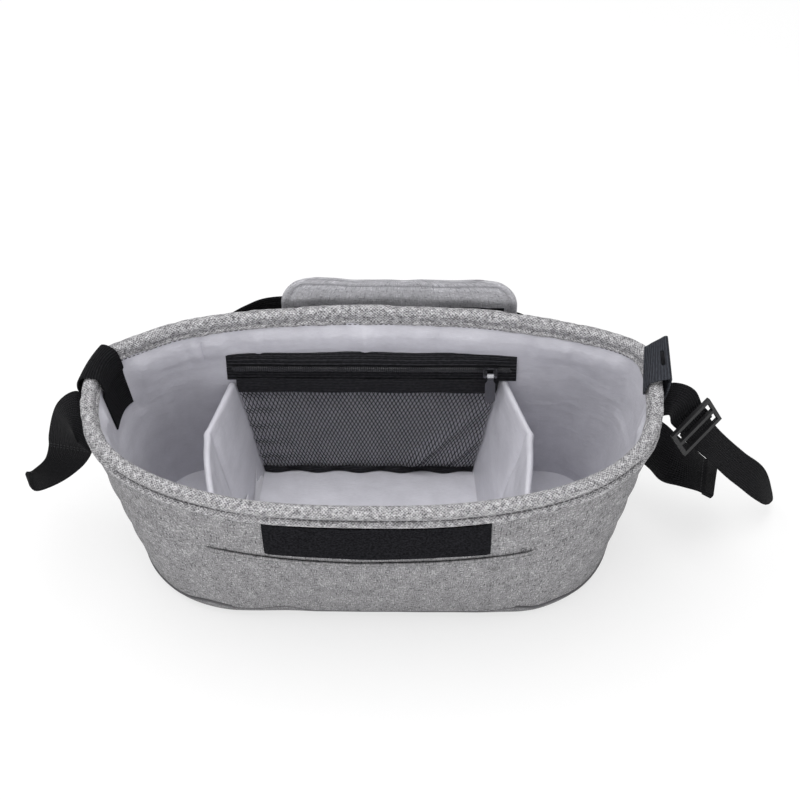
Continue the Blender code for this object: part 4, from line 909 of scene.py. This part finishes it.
def zipPlane(height):
    reach = wallDepth + 0.0011
    return min(float(backY(alongZip(share), height, reach)) for share in (0.0, 1.0))


zipY = zipPlane(zipper["height"])
zipLean = (zipPlane(zipper["height"] + zipper["tape"]) - zipY) / zipper["tape"]


def onZip(x, height, forward):
    # a point in front of the zip's plane
    return np.stack([x, zipY + zipLean * (height - zipper["height"]) - forward, height], 1)


def netY(x, height):
    wallLine = backY(x, height, wallDepth + 0.0022)
    plane = zipY + zipLean * (height - zipper["height"])
    share = unit((height - net["bottom"]) / (net["bandBottom"] - net["bottom"]))
    return np.minimum(wallLine, wallLine * (1 - share**2) + plane * share**2)


def tapeRidges(v):
    return 0.0004 + zipper["ridge"] * np.cos(v * zipper["ridges"] * 2 * math.pi)


def upperTapePlace(u, v):
    height = zipper["height"] + 0.0004 + (zipper["tape"] - 0.0004) * v
    x = alongZip(u)
    flat = onZip(x, height, tapeRidges(v))
    wallLine = backY(x, zipper["height"] + zipper["tape"] + 0 * height, wallDepth + 0.0020)
    share = unit((v - 0.25) / 0.75) ** 1.5
    flat[:, 1] = flat[:, 1] * (1 - share) + wallLine * share
    flat[:, 2] += 0.0006 * np.sin(u * 17) * v
    return flat


def lowerTapePlace(u, v):
    height = zipper["height"] - zipper["tape"] + (zipper["tape"] - 0.0004) * v
    return onZip(alongZip(u), height, tapeRidges(v))


for name, place, node in (("upperZipTape", upperTapePlace, "zip_tape_upper"),
                          ("lowerZipTape", lowerTapePlace, "zip_tape_lower")):
    sewnPiece(name, (110, 32), place, (0.188, 0.010), "trim", "black_trim", node, thickness=0.0005)


def coilPiece():
    # the zip's coil: one flattened spiral of wire, whose turns reach up and down from the middle
    left, right = alongZip(zipper["ends"]), alongZip(1 - zipper["ends"])
    turns = int((right - left) / zipper["pitch"])
    samples = turns * 8
    phase = np.arange(samples + 1) / 8 * 2 * math.pi
    x = left + (right - left) * np.arange(samples + 1) / samples
    up = zipper["coil"] * 0.86 * np.sin(phase)
    forward = 0.0016 + 0.0007 * np.cos(phase)

    def place(u, v):
        at = u * samples
        low = np.clip(np.floor(at).astype(int), 0, samples - 1)
        share = at - low
        line = np.stack([x, forward, up], 1)
        centre = line[low] * (1 - share[:, None]) + line[low + 1] * share[:, None]
        along = line[np.clip(low + 1, 0, samples)] - line[np.clip(low - 1, 0, samples)]
        along = direction(along)
        side = direction(np.cross(along, np.array([1.0, 0.02, 0.01])))
        other = np.cross(along, side)
        angle = 2 * math.pi * v
        spot = centre + zipper["wire"] * (side * np.cos(angle)[:, None] + other * np.sin(angle)[:, None])
        return onZip(spot[:, 0], zipper["height"] + spot[:, 2], spot[:, 1])

    return clothPiece("zipCoil", (samples, 6), place, (0.16, 0.003), closed=(False, True), capped=True)


finishPiece(coilPiece(), "coil", "bag", ["zip_coil"])


def bandPlace(u, v):
    height = net["bandBottom"] + (net["bandTop"] - net["bandBottom"]) * v
    x = betweenDividers(height, u)
    top = zipY + zipLean * (net["bandTop"] - zipper["height"])
    y = netY(x, net["bandBottom"] + 0 * x) * (1 - v) + top * v
    return np.stack([x, y - 0.0016 - 0.0003 * np.sin(u * 23 + v * 2), height], 1)


def hemPlace(u, v):
    height = floorTop + 0.0007 + net["hem"] * v + 0.0010 * np.sin(u * 31 + 0.6) * v
    x = betweenDividers(height, u)
    y = netY(x, height) - 0.0012 - 0.0011 * np.sin(u * 31) * (1 - 0.4 * v)
    return np.stack([x, y, height], 1)


for name, place, node, size in (("netBand", bandPlace, "mesh_top_band", 0.011),
                                ("netHem", hemPlace, "mesh_hem", 0.0042)):
    sewnPiece(name, (120, 8), place, (0.165, size), "trim", "black_trim", node, thickness=0.0010)


def netSpot(u, v, low, high):
    # a point of the hung net, which bellies out and folds towards its lower right
    height = low + (high - low) * v
    x = betweenDividers(height, u)
    y = netY(x, height)
    slant = u * 0.9 - v * 0.35
    rightFold = (bump(slant, 0.60, 0.035) + 0.7 * bump(slant, 0.74, 0.03)) * unit(1.1 - v) * net["foldDepth"]
    leftFolds = unit(1 - u * 5) * net["sideFolds"] * np.sin(v * 34)
    lumps = softNoise(np.stack([x, height, u * 0], 1), 0.04, 60.0)
    sag = net["sag"] * np.sin(v * math.pi) * (0.6 + 0.4 * lumps)
    fade = unit(np.minimum(v, 1 - v) * 8)
    y = y - 0.0006 - (sag + rightFold + leftFolds + 0.0004 * np.sin(u * 60 + v * 9)) * fade
    return np.stack([x, y, height], 1)


def netPiece():
    # a knotted net: staggered diamonds, each a ring of four threads round its hole
    low, high = floorTop + net["hem"] - net["tuck"], net["bandBottom"] + net["tuck"]
    columns, rows = round(net["across"] / net["width"]), round((high - low) / net["row"])
    bpy.ops.object.select_all(action="DESELECT")
    bpy.ops.mesh.primitive_circle_add(vertices=4, radius=1)
    piece = bpy.context.object
    piece.name = "netPocket"
    points, index, faces = [], {}, []

    def knot(column, row):
        if (column, row) not in index:
            index[column, row] = len(points)
            points.append((column / 2 / columns, row / rows))
        return index[column, row]

    for row in range(1, rows):
        for column in range(1 + row % 2, 2 * columns, 2):
            around = ((1, 0), (0, 1), (-1, 0), (0, -1))
            corners = [knot(column + dx, row + dy) for dx, dy in around]
            first = len(points)
            for dx, dy in around:
                points.append(((column + dx * net["open"]) / 2 / columns, (row + dy * net["open"]) / rows))
            for side in range(4):
                after = (side + 1) % 4
                faces.append((corners[side], corners[after], first + after, first + side))
    points = np.array(points)
    u, v = points[:, 0], points[:, 1]
    made = giveMesh(piece, netSpot(u, v, low, high), faces)
    layer = made.uv_layers.new(name="UVMap").data
    flat = points * net["uvSize"]
    for loop in made.loops:
        layer[loop.index].uv = flat[loop.vertex_index]
    thicken(piece, net["thread"], offset=0)
    return piece


netPocket = netPiece()
finishPiece(netPocket, "net", "bag", ["mesh_pocket"])
print("zip and net made")
paintNode("zip_slider", "nickel")
paintNode("zip_pull", "nickel")


# Lid flap, hanging behind and doubled up
flap = {"width": 0.152, "centre": 0.015, "half": 0.0020, "root": 0.117, "turn": 0.026, "radius": 0.0050,
        "tip": 0.150, "corner": 0.022, "cells": (220, 230), "band": 0.0050, "offWall": 0.0023, "puff": 0.25}
flapY = max(float(backY(flap["centre"], flap[end], -flap["offWall"])) for end in ("root", "turn"))
flapOuter = flapY + 2 * flap["radius"]


def flapPath():
    line = [(flapY, flap["root"]), (flapY, flap["turn"])]
    for turn in range(1, 13):
        angle = math.radians(180 + 15 * turn)
        line.append((flapY + flap["radius"] * (1 + math.cos(angle)),
                     flap["turn"] + flap["radius"] * math.sin(angle)))
    line.append((flapOuter, flap["tip"]))
    line = np.array(line)
    return line, runAlong(line)


flapLine, flapRun = flapPath()


def stadium(v, width, thick):
    # points round the section of a flat band, whose sides are rounded
    straight, bend = width - thick, math.pi * thick / 2
    total = 2 * (straight + bend)
    run = (v * total) % total
    x, y = np.zeros_like(run), np.zeros_like(run)
    first = run < straight
    x[first], y[first] = -straight / 2 + run[first], -thick / 2
    second = (run >= straight) & (run < straight + bend)
    angle = (run - straight) / bend * math.pi
    x[second] = straight / 2 + thick / 2 * np.sin(angle[second])
    y[second] = -thick / 2 * np.cos(angle[second])
    third = (run >= straight + bend) & (run < 2 * straight + bend)
    x[third] = straight / 2 - (run[third] - straight - bend)
    y[third] = thick / 2
    fourth = run >= 2 * straight + bend
    angle = (run - 2 * straight - bend) / bend * math.pi
    x[fourth] = -straight / 2 - thick / 2 * np.sin(angle[fourth])
    y[fourth] = thick / 2 * np.cos(angle[fourth])
    return x, y


def flapPlace(u, v):
    # u runs across and back round the edges, v along the flap from its root to its free end
    total = flapRun[-1]
    run = v * total
    y, height = sampled(run, flapRun, flapLine).T
    ahead = direction(sampled(run + 0.0008, flapRun, flapLine) - sampled(run - 0.0008, flapRun, flapLine))
    left = total - run
    over = np.clip(flap["corner"] - left, 0, None)
    inset = flap["corner"] - np.sqrt(np.clip(flap["corner"] ** 2 - over**2, 0, None))
    half = flap["width"] / 2 - inset
    across, lift = stadium(u, flap["width"], 2 * flap["half"])
    across = across / (flap["width"] / 2)
    thin = np.clip(left / 0.004, 0.12, 1) ** 0.5
    toEdge = np.minimum(half - np.abs(across) * half, left)
    puff = 1 + flap["puff"] * unit((toEdge - flap["band"]) / 0.012)
    lift = lift * thin * puff * (1 - 0.55 * bump(toEdge, flap["band"], 0.0010))
    x = flap["centre"] + across * half
    line = np.stack([x, y, height], 1)
    waves = lumpsOf(line, (0.0009, 0.030, 70.0), (0.0006, 0.011, 71.0))
    lift = lift + waves * unit(run / 0.02)
    height = height + (0.0016 * bump(x, -0.045, 0.02) - 0.0012 * bump(x, 0.02, 0.03)) * unit(v * 3 - 2)
    return np.stack([x, y - lift * ahead[:, 1], height + lift * ahead[:, 0]], 1)


lidFlap = sewnPiece("lidFlap", flap["cells"], flapPlace, (0.308, float(flapRun[-1])), "paleCloth",
                    "heather_fabric", "lid_flap", closed=(True, False), capped=True)


def flapStripPlace(u, v):
    low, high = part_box("flap_closure_strip")
    x = low.x + (high.x - low.x) * u
    height = low.z + (high.z - low.z) * v
    return np.stack([x, 0 * x + low.y - 0.0002, height], 1)


sewnPiece("flapStrip", (60, 10), flapStripPlace, (0.135, 0.022), "loop", "loop_tape", "flap_closure_strip",
          thickness=0.0010)
print("flap made")


# Webbing: each row of a route is the centre and the width direction of one stop. Those of the three free
# straps count from the wall's outside at a root, (station, height), where they are sewn on.
webbing = {"thickness": 0.0014, "wide": 0.038, "narrow": 0.025, "steps": 12, "clear": 0.0003}
roots = {"left": (25.3, 0.1240), "right": (0.34, 0.1225), "lower": (3.0, 0.0470)}
freeRoutes = {
    "left": [(-0.001, 0.0001, 0, 0.15, -0.99, 0), (-0.0088, 0.0076, 0.0022, 0.12, -0.97, -0.2),
             (-0.016, 0.0081, -0.0018, 0.45, -0.86, 0.12), (-0.0173, 0.0081, -0.019, 0.76, -0.54, 0.3),
             (-0.0188, 0.0111, -0.032, 0.82, -0.44, 0.36), (-0.0248, 0.0121, -0.046, 0.76, -0.5, 0.42),
             (-0.0353, 0.0121, -0.0575, 0.62, -0.62, 0.44), (-0.0458, 0.0116, -0.064, 0.32, -0.8, 0.47),
             (-0.0503, 0.0121, -0.0628, 0.3, -0.8, 0.47)],
    "right": [(0.0027, 0, 0, 0, -1, 0), (0.0117, 0.001, 0.0015, -0.2, -0.96, -0.12),
              (0.0192, 0.003, -0.005, -0.64, -0.73, -0.22), (0.0237, 0.0045, -0.0175, -0.8, -0.58, -0.1),
              (0.0327, 0.0048, -0.0335, -0.78, -0.62, 0.02), (0.0457, 0.007, -0.051, -0.6, -0.79, 0.08),
              (0.0607, 0.009, -0.0705, -0.56, -0.82, 0), (0.0752, 0.01, -0.087, -0.6, -0.79, 0),
              (0.0889, 0.0105, -0.1113, -0.36, -0.72, 0.59)],
    "lower": [(-0.0061, 0.007, 0, 0, 0, -1), (0.0099, 0.0078, -0.0015, 0, 0, -1),
              (0.0249, 0.0018, -0.002, 0, -0.1, -0.99), (0.0349, -0.0072, -0.0005, 0.05, -0.4, -0.91),
              (0.0419, -0.0172, 0.0025, -0.05, -0.78, -0.61),
              (0.0504, -0.0272, 0.0055, -0.11, -0.98, -0.16),
              (0.0644, -0.0324, -0.0002, -0.16, -0.97, 0.17), (0.0754, -0.0347, -0.008, -0.2, -0.93, 0.32)],
}
backMiddle = [(-0.112, 0.0684, 0.0985, 0, 0.11, 0.99), (-0.1, 0.0765, 0.1065, 0, 0.08, 0.99),
              (-0.083, 0.0835, 0.1137, -0.1, 0.05, 0.99), (-0.066, 0.0878, 0.118, -0.05, 0, 1),
              (-0.03, 0.088, 0.119, 0, 0, 1), (0.015, 0.088, 0.118, 0, 0, 1),
              (0.06, 0.088, 0.112, 0.05, 0, 1), (0.093, 0.0884, 0.103, 0.05, 0.05, 1),
              (0.102, 0.0785, 0.0985, 0, 0.1, 0.99), (0.112, 0.0685, 0.0955, 0, 0.12, 0.99)]


def wallSpot(station, level, inward=0.0):
    return wallAt(np.array([station]), np.array([level]), inward)[0][0]


def hung(name):
    station, height = roots[name]
    start = wallSpot(station, float(levelOf(station, height)))
    return [(start + np.array(row[:3]), row[3:]) for row in freeRoutes[name]]


def sewn(spots):
    # stops where the back strap lies flat on the wall
    rises = np.linspace(-webbing["narrow"] / 2, webbing["narrow"] / 2, 7)
    stops = []
    for x, height in spots:
        wall = backY(np.full(7, x), height + rises, -webbing["thickness"] / 2 - 4 * webbing["clear"])
        lean = (wall[-1] - wall[0]) / webbing["narrow"]
        stops.append(((x, float(np.max(wall - lean * rises)), height), (0.0, lean, 1.0)))
    return stops


routes = {name: hung(name) for name in freeRoutes}
routes["back"] = (sewn([(-0.1280, 0.0960), (-0.1240, 0.0960), (-0.1200, 0.0960)])
                  + [(row[:3], row[3:]) for row in backMiddle]
                  + sewn([(0.1200, 0.0940), (0.1240, 0.0940), (0.1280, 0.0940)]))


def smoothCurve(stops, steps):
    stops = [np.array(stop, float) for stop in stops]
    padded = [2 * stops[0] - stops[1], *stops, 2 * stops[-1] - stops[-2]]
    curve = []
    for number in range(1, len(padded) - 2):
        a, b, c, d = padded[number - 1:number + 3]
        for step in range(steps):
            t = step / steps
            curve.append(0.5 * (2 * b + (c - a) * t + (2 * a - 5 * b + 4 * c - d) * t**2
                                + (3 * b - a - 3 * c + d) * t**3))
    curve.append(stops[-1])
    return np.array(curve)


def bandFrame(route, lift=None):
    centres = smoothCurve([stop[0] for stop in route], webbing["steps"])
    across = direction(smoothCurve([stop[1] for stop in route], webbing["steps"]))
    along = direction(np.gradient(centres, axis=0))
    facing = direction(np.cross(along, across))
    if lift is not None:
        centres = centres + facing * lift(centres, along)[:, None]
    return centres, across, facing


def webbingPiece(name, route, width, look, stands, hem=None, lift=None, tip=0.0):
    centres, across, facing = bandFrame(route, lift)
    run = runAlong(centres)
    length = float(run[-1])

    def place(u, v):
        at = u * length
        spot, side, up = (sampled(at, run, table) for table in (centres, across, facing))
        x, y = stadium(v, width, webbing["thickness"])
        if tip:
            short = np.clip(tip - (length - at), 0, tip)
            x = x * (1 - (tip - np.sqrt(tip**2 - short**2)) / (width / 2))
        if hem:
            y = y * (1 + hem["extra"] * unit((at - length + hem["length"]) / 0.0008))
        ripple = 0.00025 * softNoise(spot + side * x[:, None], 0.018, 80.0)
        return spot + side * x[:, None] + up * (y + ripple)[:, None]

    piece = clothPiece(name, (int(length / 0.0010), 60), place, (length, width * 2.05), closed=(False, True),
                       capped=True)
    finishPiece(piece, look, "bag", stands)
    return centres, across, facing, run


def crossStitches(name, frameOf, width, distances):
    # rows of stitches across a strap, on both its faces
    centres, across, facing, run = frameOf
    for number, distance in enumerate(distances):
        spot, side, up = (sampled(distance, run, table) for table in (centres, across, facing))
        for face in (-1, 1):
            line = [spot + side * step + up * face * webbing["thickness"] * 0.55
                    for step in np.linspace(-width * 0.46, width * 0.46, 12)]
            stitchRow(f"{name}{number}{'front' if face > 0 else 'back'}", line, [up * face] * 12,
                      {"length": 0.0020, "gap": 0.0007, "radius": 0.00032}, look="darkThread",
                      slot="black_webbing")


leftFrame = webbingPiece("leftStrap", routes["left"], webbing["wide"], "webbing",
                         ["left_strap"], tip=0.007)
crossStitches("leftStrapStitches", leftFrame, webbing["wide"], (0.0455, 0.0490))
adjuster = {"stop": 10 / 3, "bar": 0.0024, "slot": 0.0068, "thick": 0.0026, "gap": 0.0003, "crest": 0.8,
            "run": 0.74}
adjusterRise = webbing["thickness"] / 2 + adjuster["gap"] + adjuster["thick"] / 2 + adjuster["gap"]
strapRise = adjusterRise + adjuster["thick"] / 2 + adjuster["gap"] + webbing["thickness"] / 2
adjusterAt = round(adjuster["stop"] * webbing["steps"])


def threadLift(centres, along):
    origin, forward = centres[adjusterAt], along[adjusterAt]
    apart = np.abs((centres - origin) @ forward)
    share = unit((apart - adjuster["bar"] * adjuster["crest"]) / (adjuster["slot"] * adjuster["run"]))
    return -strapRise * (1 - share * share * (3 - 2 * share))


webbingPiece("rightStrap", routes["right"], webbing["narrow"], "webbing", ["right_strap"],
             lift=threadLift, tip=0.007)
lowerFrame = webbingPiece("lowerStrap", routes["lower"], webbing["wide"], "webbing",
                          ["right_lower_strap"], hem={"extra": 1.3, "length": 0.009})
crossStitches("lowerStrapStitches", lowerFrame, webbing["wide"], (float(lowerFrame[3][-1]) - 0.0110,))
webbingPiece("backStrap", routes["back"], webbing["narrow"], "webbing", ["back_strap"])
paintNode("right_adjuster", "plastic")

# Webbing folded over the rim at each end. A path is (inward, height above the rim), and straight says
# how far the webbing spans its two edges in a straight line.
anchors = {"width": 0.034, "drop": 0.042, "outerShare": 0.6, "chordGap": 0.0034, "nearEnd": -0.002,
           "ease": 0.006, "weltOut": 0.0022, "weltFoot": 0.0096, "flangeIn": 0.0013, "flangeFoot": 0.0090,
           "slotLength": 0.0130, "slotWidth": 0.0026, "slotTall": 0.0030, "topRow": 3}
loopRows = [
    ((0.0096, -0.0050), (0.0042, 0.0074), 1.0), ((0.0097, -0.0005), (0.0016, 0.0080), 1.0),
    ((0.0078, 0.0047), (-0.0014, 0.0090), 1.0), ((0.0026, 0.0076), (-0.0058, 0.0099), 1.0),
    ((-0.0032, 0.0091), (-0.0098, 0.0109), 1.0), ((-0.0048, 0.0082), (-0.0115, 0.0099), 1.0),
    ((-0.0047, 0.0064), (-0.0113, 0.0080), 1.0), ((-0.0042, 0.0015), (-0.0095, 0.0015), 1.0),
    ((-0.0040, -0.0046), (-0.0080, -0.0050), 0.7), ((-0.0037, -0.0098), (-0.0056, -0.0100), 0.3),
    ((-0.0015, -0.0156), (-0.0015, -0.0156), 0.0), ((-0.0013, -0.0252), (-0.0013, -0.0252), 0.0),
]
rimStep = float(np.linalg.norm(wallSpot(1.0, 1.0)[:2] - wallSpot(0.0, 1.0)[:2]))


def rimWrap(name, ends, nearPath, farPath, straight, look, stands):
    near, far = smoothCurve(nearPath, 6), smoothCurve(farPath, 6)
    weights = smoothCurve([(value,) for value in straight], 6)[:, 0].clip(0, 1)
    nearSlope, farSlope = np.gradient(near, axis=0), np.gradient(far, axis=0)
    run = runAlong((near + far) / 2)

    def place(u, v):
        at = u * run[-1]
        across, off = stadium(v, anchors["width"], webbing["thickness"])
        share = unit(across / anchors["width"] + 0.5)

        def blend(one, other):
            return one * (1 - share)[:, None] + other * share[:, None]

        first, last = sampled(at, run, near), sampled(at, run, far)
        slope = direction(blend(sampled(at, run, nearSlope), sampled(at, run, farSlope)))

        def spot(station, path):
            level = fromRim(station, path[:, 1] - off * slope[:, 0])
            return wallAt(station, level, path[:, 0] + off * slope[:, 1])[0]

        weight = np.interp(at, run, weights)[:, None]
        free = spot(ends[0] * (1 - share) + ends[1] * share, blend(first, last))
        chord = blend(spot(ends[0] + 0 * share, first), spot(ends[1] + 0 * share, last))
        return free * (1 - weight) + chord * weight

    size = (float(run[-1]), anchors["width"] * 2.05)
    piece = clothPiece(name, (110, 60), place, size, closed=(False, True), capped=True)
    layer = piece.data.uv_layers.active.data  # the ribs run along the rim, so the UV map is turned
    uv = np.empty(len(layer) * 2)
    layer.foreach_get("uv", uv)
    layer.foreach_set("uv", uv.reshape(-1, 2)[:, ::-1].ravel())
    return finishPiece(piece, look, "bag", stands)


halfTape = webbing["thickness"] / 2
clear = webbing["clear"]
onLining = wallDepth + clear + halfTape
pastFlange = wallDepth + 3 * clear + anchors["flangeIn"] + halfTape
pastWelt = -anchors["weltOut"] - clear - halfTape
onCloth = -2 * clear - halfTape
flangeFoot, weltFoot, ease = anchors["flangeFoot"], anchors["weltFoot"], anchors["ease"]
innerLeg = [(onLining, -anchors["drop"]), (onLining, -flangeFoot - ease), (pastFlange, -flangeFoot),
            (pastFlange, -0.002)]
outerLeg = [(pastWelt - 2 * clear, -0.0046), (pastWelt, -weltFoot), (onCloth, -weltFoot - ease),
            (onCloth, -anchors["drop"] * anchors["outerShare"])]
reach = binding["roll"] + 2 * clear + halfTape
over = [(wallDepth / 2 + reach * math.cos(math.radians(30 * turn)), reach * math.sin(math.radians(30 * turn)))
        for turn in range(1, 6)]
straight = [0, 0, 0, 0, 0, 0.1, 0.5, 0.6, 0.6, 0.6, 0.5, 0, 0]
tight = [(inward - anchors["chordGap"] * weight, rise)
         for (inward, rise), weight in zip(innerLeg + over + outerLeg, straight)]
rimWrap("leftAnchor", (leftEnd, leftEnd - anchors["width"] / rimStep), tight, tight, straight, "webbing",
        ["left_strap_anchor"])
nearPath, farPath, straight = zip(*loopRows)
loopEnds = (anchors["nearEnd"] / rimStep, (anchors["nearEnd"] + anchors["width"]) / rimStep)
rightAnchor = rimWrap("rightAnchor", loopEnds, nearPath, farPath, straight, "slate",
                      ["right_strap_anchor"])


def cutSlot(piece):
    corners = []
    for station, path in ((loopEnds[0], nearPath), (loopEnds[1], farPath)):
        for inward, rise in path[anchors["topRow"]:anchors["topRow"] + 2]:
            corners.append(wallSpot(station, float(fromRim(station, rise)), inward))
    bpy.ops.object.select_all(action="DESELECT")
    bpy.ops.mesh.primitive_cylinder_add(vertices=32, radius=anchors["slotWidth"] / 2,
                                        depth=2 * anchors["slotTall"],
                                        location=tuple(sum(corners) / len(corners)))
    cutter = bpy.context.object
    half = anchors["slotLength"] / 2 - anchors["slotWidth"] / 2
    for vertex in cutter.data.vertices:
        vertex.co.y += half if vertex.co.y > 0 else -half
    knife = piece.modifiers.new("slot", "BOOLEAN")
    knife.operation = "DIFFERENCE"
    knife.object = cutter
    bpy.context.view_layer.objects.active = piece
    bpy.ops.object.modifier_apply(modifier=knife.name)
    bpy.data.objects.remove(cutter, do_unlink=True)


cutSlot(rightAnchor)
print("webbing made")


def cutSize(place):
    # the longest run across a sewn cloth and the longest run up it
    runs = []
    for across in (True, False):
        lengths = []
        for fixed in np.linspace(0, 1, 9):
            moving = np.linspace(0, 1, 300)
            line = place(moving, 0 * moving + fixed) if across else place(0 * moving + fixed, moving)
            lengths.append(float(runAlong(line)[-1]))
        runs.append(max(lengths))
    return tuple(runs)


# Sheets: the size that each was cut to is worked out
cutSize(frontPlace)
cutSize(outerPlace(seam, leftEnd - seam))
cutSize(pocketPlace)
cutSize(liningPlace)

# Camera, light and surroundings
view = {"place": (0.03309, -0.78680, 0.99948), "aim": (0.0160, 0.0333, 0.0924), "roll": -0.571,
        "lens": 85.953, "sensor": 36, "farthest": 20}


def placeCamera():
    bpy.ops.object.camera_add(location=view["place"])
    camera = bpy.context.object
    camera.name = "photoCamera"
    away = (Vector(view["place"]) - Vector(view["aim"])).normalized()
    right = Vector((0, 0, 1)).cross(away).normalized()
    up = away.cross(right)
    turn = math.radians(view["roll"])
    right, up = right * math.cos(turn) + up * math.sin(turn), up * math.cos(turn) - right * math.sin(turn)
    rows = [(right[k], up[k], away[k], view["place"][k]) for k in range(3)]
    camera.matrix_world = Matrix((*rows, (0, 0, 0, 1)))
    camera.data.lens = view["lens"]
    camera.data.sensor_width = view["sensor"]
    camera.data.clip_end = view["farthest"]
    bpy.context.scene.camera = camera


def softBox(name, place, aim, size, power):
    bpy.ops.object.light_add(type="AREA", location=place)
    lamp = bpy.context.object
    lamp.name = name
    lamp.data.shape = "RECTANGLE"
    lamp.data.size, lamp.data.size_y = size
    lamp.data.energy = power
    lamp.rotation_euler = (Vector(aim) - Vector(place)).to_track_quat("-Z", "Y").to_euler()


placeCamera()
softBox("topLight", (-0.2, 0.1, 1.3), (0, 0, 0.05), (1.4, 1.4), 18)
softBox("frontLight", (0.0, -1.7, 0.55), (0, 0, 0.06), (0.9, 0.7), 13.5)
softBox("sideLight", (1.5, 0.1, 0.8), (0, 0, 0.06), (1.0, 1.0), 2.5)
bpy.ops.mesh.primitive_plane_add(size=6, location=(0, 0, -0.0004))
ground = bpy.context.object
ground.name = "ground"
groundLook, groundShader = startMaterial("groundWhite", (0.90, 0.90, 0.90), 0.9)
# the camera sees a lighter shadow
glow = addNode(groundLook, "ShaderNodeEmission", {"Strength": 1.0}).outputs[0]
cameraRay = addNode(groundLook, "ShaderNodeLightPath").outputs["Is Camera Ray"]
seen = mathNode(groundLook, "MULTIPLY", cameraRay, 0.65)
blended = addNode(groundLook, "ShaderNodeMixShader", {0: seen, 1: groundShader.outputs[0], 2: glow})
surface = groundLook.node_tree.nodes["Material Output"].inputs["Surface"]
groundLook.node_tree.links.new(blended.outputs[0], surface)
ground.data.materials.append(groundLook)
world = bpy.data.worlds.new("studio")
bpy.context.scene.world = world
world.use_nodes = True
background = world.node_tree.nodes["Background"]
background.inputs[0].default_value = (1, 1, 1, 1)
background.inputs[1].default_value = 0.43
bpy.context.scene.view_settings.view_transform = "Standard"
print("camera and light placed")
